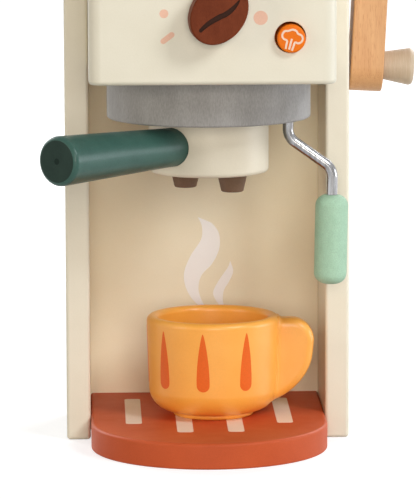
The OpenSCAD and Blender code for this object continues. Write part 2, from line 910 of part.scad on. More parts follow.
module cup_hollow() {
    in_r = cup_r - cup_wall;
    low_r = in_r - cup_taper;
    corner = belly_r * 0.8;
    translate([0, cup_floor]) square([low_r - corner, cup_h]);
    translate([0, cup_floor + corner]) polygon([
        [0, 0], [low_r, 0], [in_r, cup_h - rim_r - cup_floor - corner],
        [in_r, cup_h], [0, cup_h]
    ]);
    translate([low_r - corner, cup_floor + corner]) circle(corner);
}

module at_cup() {
    translate([cup_x, cup_y, plate_t]) children();
}

module cup_body() {
    color("orange") at_cup() rotate_extrude() difference() {
        intersection() {
            cup_outline();
            square([2 * cup_r, 2 * cup_h]);
        }
        cup_hollow();
    }
}

// Side view of the handle: one broad curve below, a small round corner above
module ear_outline() {
    ear_x = cup_r + ear_out;
    intersection() {
        translate([ear_curve_x, ear_curve_z]) circle(ear_curve_r);
        translate([ear_in_x, 0]) square([2 * cup_r, ear_curve_z]);
    }
    translate([ear_in_x, ear_curve_z - 1])
        square([ear_x - ear_corner_r - ear_in_x, ear_top - ear_curve_z + 1]);
    translate([ear_in_x, ear_curve_z - 1])
        square([ear_x - ear_in_x, ear_top - ear_corner_r - ear_curve_z + 1]);
    translate([ear_x - ear_corner_r, ear_top - ear_corner_r]) circle(ear_corner_r);
}

// The handle with its edges rounded: slabs that grow thicker as their outline draws in
module ear_form() {
    rotate([90, 0, 0]) hull() for (a = [0:18:90])
        linear_extrude(height = ear_t - 2 * ear_edge * (1 - sin(a)), center = true)
            offset(delta = -ear_edge * (1 - cos(a))) ear_outline($fn = 1.5 * BLEND);
}

module cup_handle() {
    color("orange") at_cup() difference() {
        ear_form();
        rotate_extrude() {
            intersection() {
                cup_outline();
                square([2 * cup_r, 2 * cup_h]);
            }
            square([cup_r - rim_r, cup_h]);
        }
    }
}

side_panel_left();
side_panel_right();
back_panel();
top_board();
head_front();
head_side_left();
head_side_right();
head_floor();
base_plate();
brew_head();
brew_head_screws();
head_magnet();
base_dowels();
back_dowels();
head_dowels();
top_dowels();
keeper_plate();
portafilter_body();
portafilter_screw();
portafilter_handle();
spout_left();
spout_right();
wand_rod();
wand_grip();
wand_push_nut();
bean_knob();
bean_axle();
bean_washer();
bean_screw();
steam_button();
button_spring();
button_housing();
crank_axle();
crank_spacer();
crank_arm();
crank_screw();
crank_collar();
crank_knob();
crank_knob_screw();
cup_body();
cup_handle();
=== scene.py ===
"""Looks of a wooden toy coffee maker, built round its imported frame.

The toy is a painted board case with a turning portafilter, a swivelling steam wand, a push
button, a bean knob, a side crank and a loose cup. Lengths are metres: +X right, -Y front, +Z up.
"""
from __future__ import annotations

import logging
import math
from dataclasses import dataclass
from enum import Enum
from typing import Any, Callable, Sequence

import bmesh
import bpy
from mathutils import Matrix, Vector

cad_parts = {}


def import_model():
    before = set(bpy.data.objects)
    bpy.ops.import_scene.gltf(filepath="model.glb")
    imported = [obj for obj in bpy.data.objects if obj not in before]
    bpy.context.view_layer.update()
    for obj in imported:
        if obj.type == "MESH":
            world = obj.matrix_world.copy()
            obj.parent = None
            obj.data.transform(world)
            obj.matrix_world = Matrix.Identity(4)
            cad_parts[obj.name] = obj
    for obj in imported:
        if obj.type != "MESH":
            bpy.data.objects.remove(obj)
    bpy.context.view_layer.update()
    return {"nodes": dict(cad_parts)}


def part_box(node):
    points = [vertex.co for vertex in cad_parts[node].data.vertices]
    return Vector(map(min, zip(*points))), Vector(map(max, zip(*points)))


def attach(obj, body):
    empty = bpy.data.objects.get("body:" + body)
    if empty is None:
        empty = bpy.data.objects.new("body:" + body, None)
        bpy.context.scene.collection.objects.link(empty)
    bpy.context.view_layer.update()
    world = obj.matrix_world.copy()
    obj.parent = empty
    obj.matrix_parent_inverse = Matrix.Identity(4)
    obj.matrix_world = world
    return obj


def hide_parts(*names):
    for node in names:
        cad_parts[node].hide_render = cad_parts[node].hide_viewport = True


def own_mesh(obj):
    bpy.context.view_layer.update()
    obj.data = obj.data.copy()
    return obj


MM = 0.001
PRINT_THICKNESS = 0.08 * MM
SHARP_ANGLE = math.radians(38)
NEARLY_STRAIGHT = math.radians(89.5)
SEAM = 1e-7
log =logging.getLogger("coffee_maker")

Rgb = tuple[int, int, int]
Corner = tuple[float, float, float]


class Body(Enum):
    """The frame's bodies that pieces ride on."""

    CASE = "case"
    KEEPER = "keeper"
    PORTAFILTER = "portafilter"
    WAND = "wand"
    BEAN = "bean"
    BUTTON = "button"
    CRANK = "crank"
    CRANK_GRIP = "crank_grip"
    CUP = "cup"


# ---- drawing in the plane


def arc(middle: Vector, radius: float, start: float, turn: float, steps: int) -> list[Vector]:
    """Points along an arc, both ends included.

    Args:
        middle: centre of the arc.
        radius: its radius.
        start: angle of its first point, in radians.
        turn: signed angle that it covers.
        steps: number of stretches.

    Returns:
        The points in order.
    """
    angles = [start + turn * i / steps for i in range(steps + 1)]
    return [middle + radius * Vector((math.cos(a), math.sin(a))) for a in angles]


def round_corner(before: Vector, corner: Vector, after: Vector, radius: float, steps: int) -> list[Vector]:
    """Replaces one corner of a path by an arc that touches both sides.

    Args:
        before: the point before the corner.
        corner: the corner itself.
        after: the point after it.
        radius: radius of the arc, 0 to keep the corner sharp.
        steps: number of stretches in a quarter turn.

    Returns:
        The points that stand for the corner.
    """
    back = (before - corner).normalized()
    ahead = (after - corner).normalized()
    half = back.angle(ahead) / 2
    if radius <= 0 or half > NEARLY_STRAIGHT:
        return [corner]
    reach = radius / math.tan(half)
    middle = corner + (back + ahead).normalized() * radius / math.sin(half)
    first = corner + back * reach - middle
    last = corner + ahead * reach - middle
    start = math.atan2(first.y, first.x)
    turn = (math.atan2(last.y, last.x) - start + math.pi) % (2 * math.pi) - math.pi
    count = max(2, round(steps * abs(turn) / (math.pi / 2)))
    return arc(middle, radius, start, turn, count)


def rounded(corners: Sequence[Corner], closed: bool = True, steps: int = 8) -> list[Vector]:
    """A path through corners, each with its own rounding.

    Args:
        corners: x, y and radius of each corner.
        closed: whether the last corner joins the first.
        steps: number of stretches in a quarter turn.

    Returns:
        The points of the path.
    """
    places = [Vector(corner[:2]) for corner in corners]
    count = len(places)
    path: list[Vector] = []
    for i, corner in enumerate(corners):
        if not closed and i in (0, count - 1):
            path.append(places[i])
        else:
            path += round_corner(places[i - 1], places[i], places[(i + 1) % count], corner[2], steps)
    return path


def anticlockwise(outline: Sequence[Vector]) -> list[Vector]:
    """The outline, turned round if it runs clockwise."""
    area = sum(a.cross(b) for a, b in zip(outline, [*outline[1:], outline[0]]))
    return list(outline) if area > 0 else list(reversed(outline))


def inset(outline: Sequence[Vector], depth: float) -> list[Vector]:
    """Moves an anticlockwise outline inwards by a depth, with mitred corners."""
    moved = []
    for i, point in enumerate(outline):
        ahead = (outline[(i + 1) % len(outline)] - point).normalized()
        behind = (point - outline[i - 1]).normalized()
        first = Vector((-behind.y, behind.x))
        second = Vector((-ahead.y, ahead.x))
        moved.append(point + (first + second) * depth / (1 + first.dot(second)))
    return moved


def smooth_loop(points: Sequence[tuple[float, float]], steps: int = 8) -> list[Vector]:
    """An open curve that passes smoothly through its points.

    Args:
        points: places along the curve.
        steps: number of stretches between two of them.

    Returns:
        The points of the curve, both ends included.
    """
    knots = [Vector(p) for p in points]
    knots = [2 * knots[0] - knots[1], *knots, 2 * knots[-1] - knots[-2]]
    curve = []
    for a, b, c, d in zip(knots, knots[1:], knots[2:], knots[3:]):
        square = 2 * a - 5 * b + 4 * c - d
        cube = 3 * b - a - 3 * c + d
        for t in (i / steps for i in range(steps)):
            curve.append(0.5 * (2 * b + (c - a) * t + square * t**2 + cube * t**3))
    return [*curve, knots[-2]]


def pin(radius: float, low: float, high: float) -> list[Vector]:
    """Profile of a plain round pin between two heights."""
    return [Vector((0, low)), Vector((radius, low)), Vector((radius, high)), Vector((0, high))]


# ---- meshes


def shift(x: float, y: float, z: float) -> Matrix:
    """A move."""
    return Matrix.Translation((x, y, z))


def turn(degrees: float, axis: str) -> Matrix:
    """A turn about one of the axes."""
    return Matrix.Rotation(math.radians(degrees), 4, axis)


def to_mesh(shape: bmesh.types.BMesh, name: str, place: Matrix | None = None) -> bpy.types.Mesh:
    """Closes a shape's seams, turns its faces outwards and puts it in its place.

    Args:
        shape: the shape, which is used up.
        name: name of the mesh.
        place: where it goes.

    Returns:
        The mesh.
    """
    bmesh.ops.remove_doubles(shape, verts=shape.verts[:], dist=SEAM)
    bmesh.ops.recalc_face_normals(shape, faces=shape.faces[:])
    if place is not None:
        shape.transform(place)
    mesh = bpy.data.meshes.new(name)
    shape.to_mesh(mesh)
    shape.free()
    return mesh


def loft(rings: Sequence[Sequence[Vector]], caps: bool = True) -> bmesh.types.BMesh:
    """Joins closed rings of points by faces. A ring of one point is a pole.

    Args:
        rings: the rings in order, all of one length apart from poles.
        caps: whether the first and last ring are filled.

    Returns:
        The shape.
    """
    shape = bmesh.new()
    made = [[shape.verts.new(point) for point in ring] for ring in rings]
    for low, high in zip(made, made[1:]):
        count = max(len(low), len(high))
        for k in range(count):
            n = (k + 1) % count
            around = [low[k % len(low)], low[n % len(low)], high[n % len(high)], high[k % len(high)]]
            corners = list(dict.fromkeys(around))
            if len(corners) > 2:
                shape.faces.new(corners)
    if caps:
        for ring in (made[0], made[-1]):
            if len(ring) > 2:
                shape.faces.new(ring)
    return shape


def lathe(
    name: str,
    profile: Sequence[Vector],
    place: Matrix,
    closed: bool = False,
    segments: int = 128,
) -> bpy.types.Mesh:
    """A turned piece about +Z.

    Args:
        name: name of the mesh.
        profile: distance from the axis and height of each point.
        place: where the piece goes.
        closed: whether the profile is a loop clear of the axis.
        segments: number of faces round the piece.

    Returns:
        The mesh.
    """
    points = [*profile, profile[0]] if closed else profile
    angles = [2 * math.pi * k / segments for k in range(segments)]
    spokes = [Vector((math.cos(a), math.sin(a), 0)) for a in angles]
    rings = []
    for point in points:
        height = Vector((0, 0, point.y))
        on_axis = point.x < SEAM
        rings.append([height] if on_axis else [spoke * point.x + height for spoke in spokes])
    return to_mesh(loft(rings, caps=False), name, place)


def turned(
    name: str, corners: Sequence[Corner], place: Matrix, segments: int = 128, steps: int = 8
) -> bpy.types.Mesh:
    """A solid turned piece, drawn by the corners of its profile.

    Args:
        name: name of the mesh.
        corners: distance from the axis, height and rounding of each corner, from axis to axis.
        place: where the piece goes.
        segments: number of faces round the piece.
        steps: number of stretches in a quarter turn of a rounding.

    Returns:
        The mesh.
    """
    return lathe(name, rounded(corners, closed=False, steps=steps), place, segments=segments)


def slab(
    name: str,
    outline: Sequence[Vector],
    low: float,
    high: float,
    edges: tuple[float, float],
    place: Matrix | None = None,
    steps: int = 6,
) -> bmesh.types.BMesh:
    """A board: an outline extruded along Z, with rounded edges below and above.

    Args:
        name: what the board is, for messages.
        outline: its outline in the plane.
        low: height of its lower face.
        high: height of its upper face.
        edges: rounding of the lower and of the upper edge.
        place: where the board goes.
        steps: number of stretches in each rounding.

    Returns:
        The shape, in its place.
    """
    if high <= low:
        raise ValueError(f"{name}: the board has no thickness")
    border = anticlockwise(outline)
    levels: list[tuple[float, float]] = []
    for edge, end, inward in ((edges[0], low, 1), (edges[1], high, -1)):
        angles = [math.pi / 2 * i / steps for i in range(steps + 1)] if edge > 0 else [math.pi / 2]
        rim = [(edge * (1 - math.sin(a)), end + inward * edge * (1 - math.cos(a))) for a in angles]
        levels += rim if inward > 0 else reversed(rim)
    rings = [[Vector((p.x, p.y, z)) for p in inset(border, depth)] for depth, z in levels]
    shape = loft(rings)
    if place is not None:
        shape.transform(place)
    return shape


def keep_side(shape: bmesh.types.BMesh, point: Sequence[float], outwards: Sequence[float]) -> None:
    """Saws a closed convex shape along a plane and keeps the part behind it.

    Args:
        shape: the shape, changed in place.
        point: a point of the plane.
        outwards: direction of the part that is taken away.
    """
    everything = shape.verts[:] + shape.edges[:] + shape.faces[:]
    sawn = bmesh.ops.bisect_plane(
        shape, geom=everything, dist=SEAM, plane_co=point, plane_no=outwards, clear_outer=True
    )
    rim = [item for item in sawn["geom_cut"] if isinstance(item, bmesh.types.BMEdge)]
    bmesh.ops.edgeloop_fill(shape, edges=rim)


def finished_mesh(piece: bpy.types.Object) -> bpy.types.Mesh:
    """A plain mesh of a piece with its modifiers applied."""
    graph = bpy.context.evaluated_depsgraph_get()
    seen = piece.evaluated_get(graph)
    return bpy.data.meshes.new_from_object(seen, preserve_all_data_layers=True, depsgraph=graph)


def bake(piece: bpy.types.Object) -> None:
    """Applies a piece's modifiers to its mesh."""
    result = finished_mesh(piece)
    piece.modifiers.clear()
    piece.data = result


def new_object(name: str, data: Any) -> bpy.types.Object:
    """Adds an object to the scene."""
    made = bpy.data.objects.new(name, data)
    bpy.context.scene.collection.objects.link(made)
    return made


def empty_object(name: str) -> bpy.types.Object:
    """Adds an object without faces, for a tree that makes its own shape."""
    return new_object(name, bpy.data.meshes.new(name))


def cut(piece: bpy.types.Object, cutter: bpy.types.Mesh) -> None:
    """Cuts a closed mesh out of a piece. The new faces take the cutter's material.

    Args:
        piece: the piece that is cut.
        cutter: the mesh that is taken away.
    """
    tool = new_object("cutter", cutter)
    modifier = piece.modifiers.new("cut", "BOOLEAN")
    modifier.operation = "DIFFERENCE"
    modifier.solver = "EXACT"
    modifier.material_mode = "TRANSFER"
    modifier.object = tool
    bake(piece)
    bpy.data.objects.remove(tool)


def even_normals(piece: bpy.types.Object) -> None:
    """Smooths the rounded faces and keeps the flat ones flat."""
    piece.data.shade_smooth()
    piece.data.set_sharp_from_angle(angle=SHARP_ANGLE)
    modifier = piece.modifiers.new("even_normals", "WEIGHTED_NORMAL")
    modifier.keep_sharp = True
    bake(piece)


# ---- node trees


def node(
    tree: bpy.types.NodeTree, kind: str, inputs: dict[str | int, Any] | None = None, **settings: Any
) -> Any:
    """Adds a node to a tree.

    Args:
        tree: the tree.
        kind: the node's type.
        inputs: a value or a socket to link for each input.
        settings: the node's other settings.

    Returns:
        The node.
    """
    made = tree.nodes.new(kind)
    for key, value in settings.items():
        setattr(made, key, value)
    for key, value in (inputs or {}).items():
        if isinstance(value, bpy.types.NodeSocket):
            tree.links.new(value, made.inputs[key])
        else:
            made.inputs[key].default_value = value
    return made


def math_node(tree: bpy.types.NodeTree, operation: str, *values: Any) -> Any:
    """A calculation on one, two or three values or sockets. Returns its result."""
    return node(tree, "ShaderNodeMath", dict(enumerate(values)), operation=operation).outputs[0]


def noise(
    tree: bpy.types.NodeTree, place: Any, size: Any, detail: float, roughness: float, distortion: float = 0.0
) -> Any:
    """A noise pattern.

    Args:
        tree: the tree.
        place: socket of the places that it is read at.
        size: socket of the size of its clouds.
        detail: how many finer layers it has.
        roughness: how strong the finer layers are.
        distortion: how much it is stirred.

    Returns:
        The socket of its strength.
    """
    values = {
        "Vector": place,
        "Scale": math_node(tree, "DIVIDE", 1.0, size),
        "Detail": detail,
        "Roughness": roughness,
        "Distortion": distortion,
    }
    return node(tree, "ShaderNodeTexNoise", values).outputs["Fac"]


def spread(
    tree: bpy.types.NodeTree, value: Any, low: float, high: float, to_low: float = 0.0, to_high: float = 1.0
) -> Any:
    """Stretches a value from one range to another and stops it at the ends. Returns its result."""
    values = {"Value": value, "From Min": low, "From Max": high, "To Min": to_low, "To Max": to_high}
    return node(tree, "ShaderNodeMapRange", values).outputs["Result"]


def blend(tree: bpy.types.NodeTree, share: Any, first: Any, second: Any) -> Any:
    """A mix of two colours. Returns its result."""
    return node(tree, "ShaderNodeMix", {0: share, 6: first, 7: second}, data_type="RGBA").outputs[2]


def mapped(tree: bpy.types.NodeTree, place: Any, change: str, values: Sequence[float]) -> Any:
    """Places after a change, Rotation or Scale. A small scale draws a pattern out. Returns its result."""
    return node(tree, "ShaderNodeMapping", {"Vector": place, change: values}).outputs["Vector"]


def put_out(tree: bpy.types.NodeTree, result: Any, sockets: dict[str, Any]) -> bpy.types.NodeTree:
    """Links sockets to a group's outputs and returns the group."""
    for label, socket in sockets.items():
        tree.links.new(socket, result.inputs[label])
    return tree


def new_tree(
    name: str, kind: str, inputs: dict[str, str], outputs: dict[str, str]
) -> tuple[bpy.types.NodeTree, Any, Any]:
    """Starts a node group with named sockets.

    Args:
        name: name of the group.
        kind: ShaderNodeTree or GeometryNodeTree.
        inputs: socket type of each input.
        outputs: socket type of each output.

    Returns:
        The group, its input node and its output node.
    """
    tree = bpy.data.node_groups.new(name, kind)
    for label, socket in inputs.items():
        tree.interface.new_socket(label, in_out="INPUT", socket_type=f"NodeSocket{socket}")
    for label, socket in outputs.items():
        tree.interface.new_socket(label, in_out="OUTPUT", socket_type=f"NodeSocket{socket}")
    return tree, node(tree, "NodeGroupInput"), node(tree, "NodeGroupOutput")


def group_once(name: str, build: Callable[[], bpy.types.NodeTree]) -> bpy.types.NodeTree:
    """The node group of that name, built at its first use."""
    return bpy.data.node_groups.get(name) or build()


def shape_tree(name: str, inputs: dict[str, str]) -> tuple[bpy.types.NodeTree, Any, Any]:
    """Starts a geometry tree that takes a shape, a material and the given sizes."""
    every = {"Geometry": "Geometry", **inputs, "Material": "Material"}
    return new_tree(name, "GeometryNodeTree", every, {"Geometry": "Geometry"})


def end_tree(tree: bpy.types.NodeTree, given: Any, result: Any, shape: Any) -> bpy.types.NodeTree:
    """Ends a geometry tree: its copies become real and take the material.

    Args:
        tree: the tree.
        given: its input node.
        result: its output node.
        shape: the socket of the finished shape.

    Returns:
        The tree.
    """
    real = node(tree, "GeometryNodeRealizeInstances", {"Geometry": shape}).outputs["Geometry"]
    dressed = node(tree, "GeometryNodeSetMaterial", {"Geometry": real, "Material": given.outputs["Material"]})
    return put_out(tree, result, {"Geometry": dressed.outputs["Geometry"]})


def eased_path(tree: bpy.types.NodeTree, path: Any, radius: Any, steps: int) -> Any:
    """A path whose corners are bent to a radius. Returns the node."""
    values = {"Curve": path, "Radius": radius, "Count": steps}
    return node(tree, "GeometryNodeFilletCurve", values, mode="POLY")


def oblong_path(tree: bpy.types.NodeTree, width: Any, height: Any) -> Any:
    """A closed path round an oblong. Returns the node."""
    return node(tree, "GeometryNodeCurvePrimitiveQuadrilateral", {"Width": width, "Height": height})


def circle_path(tree: bpy.types.NodeTree, radius: Any, steps: int) -> Any:
    """A closed round path. Returns the node."""
    return node(tree, "GeometryNodeCurvePrimitiveCircle", {"Resolution": steps, "Radius": radius})


def swept(tree: bpy.types.NodeTree, path: Any, section: Any) -> Any:
    """A section drawn along a path, with its ends closed. Returns the socket of its mesh."""
    curves = {"Curve": path.outputs["Curve"], "Profile Curve": section.outputs["Curve"], "Fill Caps": True}
    return node(tree, "GeometryNodeCurveToMesh", curves).outputs["Mesh"]


def run_tree(
    piece: bpy.types.Object, name: str, build: Callable[[], bpy.types.NodeTree], values: dict[str, Any]
) -> bpy.types.Object:
    """Runs a geometry tree on a mesh or a curve and keeps the result as a plain mesh.

    Args:
        piece: the piece, which is used up.
        name: name of the tree.
        build: what builds the tree at its first use.
        values: a value for each named input.

    Returns:
        The finished piece, under the same name.
    """
    tree = group_once(name, build)
    modifier = piece.modifiers.new(tree.name, "NODES")
    modifier.node_group = tree
    for item in tree.interface.items_tree:
        if item.in_out == "INPUT" and item.name in values:
            modifier[item.identifier] = values[item.name]
    mesh, label = finished_mesh(piece), piece.name
    bpy.data.objects.remove(piece)
    return new_object(label, mesh)


# ---- surface effects shared by the finishes

LOOK = {"Color": "Color", "Roughness": "Float", "Height": "Float"}


def uneven_group() -> bpy.types.NodeTree:
    """Broad cloudy changes of tone with fine specks, as in sprayed paint on wood."""
    sizes = dict.fromkeys(("Cloud Size", "Cloud", "Speck Size", "Speck", "Roughness"), "Float")
    inputs = {"Vector": "Vector", "Color": "Color", "Shade": "Color", **sizes}
    tree, given, result = new_tree("uneven_coat", "ShaderNodeTree", inputs, LOOK)
    value = given.outputs
    clouds = noise(tree, value["Vector"], value["Cloud Size"], detail=3.0, roughness=0.55)
    tone = spread(tree, clouds, low=0.3, high=0.7)
    specks = noise(tree, value["Vector"], value["Speck Size"], detail=2.0, roughness=0.6)
    fine = spread(tree, specks, low=0.3, high=0.7, to_low=-1.0, to_high=1.0)
    mixed = blend(tree, math_node(tree, "MULTIPLY", tone, value["Cloud"]), value["Color"], value["Shade"])
    light = math_node(tree, "MULTIPLY_ADD", fine, value["Speck"], 1.0)
    shaded = node(tree, "ShaderNodeHueSaturation", {"Value": light, "Color": mixed})
    drift = math_node(tree, "MULTIPLY_ADD", tone, 0.1, -0.05)
    rough = math_node(tree, "ADD", value["Roughness"], drift)
    height = math_node(tree, "MULTIPLY_ADD", tone, 0.4, specks)
    return put_out(tree, result, {"Color": shaded.outputs["Color"], "Roughness": rough, "Height": height})


def grain_group() -> bpy.types.NodeTree:
    """Straight wood grain along X: slow bands of tone and short dark flecks."""
    colors = dict.fromkeys(("Color", "Shade", "Fleck Color"), "Color")
    sizes = dict.fromkeys(("Band Size", "Fleck Size", "Fleck", "Roughness"), "Float")
    inputs = {"Vector": "Vector", **colors, **sizes}
    tree, given, result = new_tree("straight_grain", "ShaderNodeTree", inputs, LOOK)
    value = given.outputs
    band_place = mapped(tree, value["Vector"], "Scale", (0.06, 1.0, 1.0))
    bands = noise(tree, band_place, value["Band Size"], detail=5.0, roughness=0.65, distortion=0.3)
    pore_place = mapped(tree, value["Vector"], "Scale", (0.07, 1.0, 1.0))
    pores = noise(tree, pore_place, value["Fleck Size"], detail=1.0, roughness=0.5)
    fleck = spread(tree, pores, low=0.6, high=0.7)
    ground = blend(tree, spread(tree, bands, low=0.32, high=0.68), value["Color"], value["Shade"])
    flecked = blend(tree, math_node(tree, "MULTIPLY", fleck, value["Fleck"]), ground, value["Fleck Color"])
    rough = math_node(tree, "MULTIPLY_ADD", fleck, 0.15, value["Roughness"])
    height = math_node(tree, "MULTIPLY_ADD", fleck, -0.6, bands)
    return put_out(tree, result, {"Color": flecked, "Roughness": rough, "Height": height})


def linear(color: Rgb) -> tuple[float, float, float, float]:
    """A screen colour, 0 to 255, as linear light."""
    parts = [c / 255 for c in color]
    light = [p / 12.92 if p <= 0.04045 else ((p + 0.055) / 1.055) ** 2.4 for p in parts]
    return (light[0], light[1], light[2], 1.0)


@dataclass(frozen=True)
class Finish:
    """What every finish has: its name, a slot name, its colours and its sheen."""

    name: str
    slot: str
    color: Rgb
    shade: Rgb
    roughness: float = 0.5
    gloss: float = 0.5
    relief: float = 0.03 * MM
    stretch: tuple[float, float, float] = (1.0, 1.0, 1.0)
    tilt: tuple[float, float, float] = (0.0, 0.0, 0.0)

    def effect(self) -> tuple[str, Callable[[], bpy.types.NodeTree], dict[str, Any]]:
        """Name, builder and own values of the group that makes this finish's surface."""
        raise NotImplementedError

    def settle(self, shader: Any) -> None:
        """Sets what is the same all over the surface on the shader."""

    def material(self) -> bpy.types.Material:
        """The material of this finish, built at its first use."""
        found = bpy.data.materials.get(self.name)
        if found:
            return found
        made = bpy.data.materials.new(self.name)
        made.use_nodes = True
        made.diffuse_color = linear(self.color)
        tree = made.node_tree
        shader = tree.nodes["Principled BSDF"]
        space = node(tree, "ShaderNodeTexCoord").outputs["Object"]
        placed = mapped(tree, space, "Rotation", [math.radians(a) for a in self.tilt])
        name, build, own = self.effect()
        shared = {
            "Vector": mapped(tree, placed, "Scale", self.stretch),
            "Color": linear(self.color),
            "Shade": linear(self.shade),
            "Roughness": self.roughness,
        }
        coat = node(tree, "ShaderNodeGroup", {**shared, **own}, node_tree=group_once(name, build)).outputs
        relief = {"Height": coat["Height"], "Distance": self.relief, "Strength": 1.0}
        bump = node(tree, "ShaderNodeBump", relief).outputs["Normal"]
        put_out(tree, shader, {"Base Color": coat["Color"], "Roughness": coat["Roughness"], "Normal": bump})
        shader.inputs["Specular IOR Level"].default_value = self.gloss
        self.settle(shader)
        return made


@dataclass(frozen=True)
class Paint(Finish):
    """A coat of paint or lacquer with clouds of tone and fine specks."""

    cloud: float = 0.5
    cloud_size: float = 28 * MM
    speck: float = 0.03
    speck_size: float = 0.9 * MM
    coat: float = 0.0
    coat_roughness: float = 0.25

    def effect(self) -> tuple[str, Callable[[], bpy.types.NodeTree], dict[str, Any]]:
        """The uneven coat with this paint's values."""
        clouds = {"Cloud Size": self.cloud_size, "Cloud": self.cloud}
        specks = {"Speck Size": self.speck_size, "Speck": self.speck}
        return "uneven_coat", uneven_group, {**clouds, **specks}

    def settle(self, shader: Any) -> None:
        """Sets the clear coat."""
        shader.inputs["Coat Weight"].default_value = self.coat
        shader.inputs["Coat Roughness"].default_value = self.coat_roughness


@dataclass(frozen=True)
class Wood(Finish):
    """Clear or bare wood with its grain along one direction."""

    fleck_color: Rgb = (150, 95, 55)
    fleck: float = 0.6
    fleck_size: float = 0.55 * MM
    band_size: float = 5 * MM

    def effect(self) -> tuple[str, Callable[[], bpy.types.NodeTree], dict[str, Any]]:
        """The straight grain with this wood's values."""
        flecks = {"Fleck Color": linear(self.fleck_color), "Fleck Size": self.fleck_size, "Fleck": self.fleck}
        return "straight_grain", grain_group, {"Band Size": self.band_size, **flecks}


@dataclass(frozen=True)
class Metal(Paint):
    """Bare or plated metal; the darker clouds in its colour are painted streaks of reflection."""

    def settle(self, shader: Any) -> None:
        """Makes the surface metal."""
        shader.inputs["Metallic"].default_value = 1.0


CREAM = Paint(
    "cream_coat", "cream_paint", (240, 232, 212), (232, 222, 200), roughness=0.42, gloss=0.3, speck=0.012
)
# The same cream paint made darker for the head's boards and top: painted shade, so the head's front reads
# darker than the side boards.
CREAM_HEAD_SHADED = Paint(
    "cream_head_shaded_coat", "cream_paint", (225, 219, 200), (219, 212, 191), roughness=0.42, speck=0.012
)
# The back board's cream is warmer than the rest, as its own paint, and lighter, as painted light that
# brightens the niche under the head.
CREAM_BACK_WARM_LIT = Paint(
    "cream_back_warm_lit_coat", "cream_paint", (250, 240, 213), (245, 233, 203), roughness=0.55, gloss=0.3, speck=0.012
)
PLATE = Paint(
    "terracotta_coat", "terracotta_paint", (206, 92, 49), (190, 80, 40), gloss=0.2, cloud=0.6,
    speck=0.05, speck_size=0.6 * MM, relief=0.05 * MM,
)
STRIPE = Paint("stripe_ink", "cream_paint", (248, 228, 208), (241, 219, 198))
GREY = Paint(
    "grey_coat", "grey_paint", (153, 150, 147), (138, 135, 131), roughness=0.6, cloud=0.8, cloud_size=9 * MM,
    speck=0.12, speck_size=0.7 * MM, stretch=(1.0, 1.0, 0.35), relief=0.05 * MM,
)
CREAM_TURNED = Paint(
    "cream_turned_coat", "portafilter_paint", (228, 218, 196), (220, 208, 184), roughness=0.42, cloud=0.6,
    speck=0.015,
)
GREEN = Paint(
    "green_coat", "green_paint", (53, 89, 79), (45, 79, 71), roughness=0.45, gloss=0.2, cloud=0.8,
    cloud_size=12 * MM, speck=0.11, speck_size=0.8 * MM, coat=0.2, coat_roughness=0.18,
)
# A darker copy of the green paint for the handle's end face: painted shade, as the end faces away from the
# key lamp.
GREEN_END_SHADE = Paint(
    "green_end_shade_coat", "green_paint", (32, 53, 45), (26, 44, 38), gloss=0.15, cloud=0.8,
    cloud_size=8 * MM, speck=0.06, speck_size=0.8 * MM,
)
# Darker still for the lathe's dimple in the handle's end: painted shade in the hollow.
GREEN_DIMPLE_SHADE = Paint(
    "green_dimple_shade_coat", "green_paint", (24, 40, 34), (20, 34, 29), roughness=0.6, gloss=0.1
)
BROWN = Paint(
    "brown_coat", "spout_paint", (112, 85, 64), (98, 73, 54), roughness=0.45, gloss=0.25, speck=0.08
)
MINT = Paint(
    "mint_coat", "mint_paint", (175, 210, 181), (162, 199, 170), roughness=0.7, cloud=0.6, cloud_size=4 * MM,
    speck=0.1, speck_size=0.6 * MM, relief=0.3 * MM,
)
ORANGE = Paint(
    "cup_coat", "cup_paint", (254, 178, 74), (250, 169, 62), roughness=0.42, cloud=0.7, cloud_size=16 * MM,
    speck=0.02, coat=0.32, coat_roughness=0.28,
)
DROP = Paint(
    "drop_ink", "cup_paint", (236, 106, 28), (230, 98, 22), roughness=0.4, gloss=0.3, speck=0.05,
    speck_size=0.7 * MM,
)
BUTTON = Paint("button_coat", "button_paint", (236, 118, 8), (228, 108, 4), roughness=0.45, gloss=0.15)
ICON = Paint("icon_ink", "button_paint", (238, 208, 184), (231, 200, 174), speck=0.02)
BEAN = Paint(
    "bean_coat", "bean_paint", (113, 51, 25), (96, 41, 19), gloss=0.1, cloud=0.8,
    cloud_size=6 * MM, speck=0.12, speck_size=0.5 * MM, stretch=(1.0, 1.0, 0.4), relief=0.02 * MM,
)
GROOVE = Paint(
    "groove_ink", "bean_paint", (52, 28, 18), (44, 23, 15), roughness=0.6, gloss=0.1, speck=0.1,
    speck_size=0.5 * MM,
)
MARK = Paint("mark_ink", "cream_paint", (231, 184, 158), (225, 177, 150))
STEAM = Paint("steam_ink", "cream_paint", (255, 253, 251), (253, 250, 246), speck=0.01)
BEECH = Wood(
    "lacquered_beech", "beech", (218, 167, 116), (206, 151, 101), roughness=0.4, gloss=0.35, tilt=(0, 90, 0),
    fleck_color=(180, 118, 72), fleck=0.55, fleck_size=0.36 * MM, band_size=2.4 * MM,
)
KNOB = Paint(
    "knob_coat", "knob_wood", (203, 182, 156), (186, 162, 134), roughness=0.45, cloud=0.7, cloud_size=2 * MM,
    speck=0.06, speck_size=0.5 * MM, stretch=(3.0, 0.3, 0.3), relief=0.06 * MM,
)
DOWEL = Wood("bare_beech", "raw_wood", (216, 178, 130), (200, 158, 108), roughness=0.65)
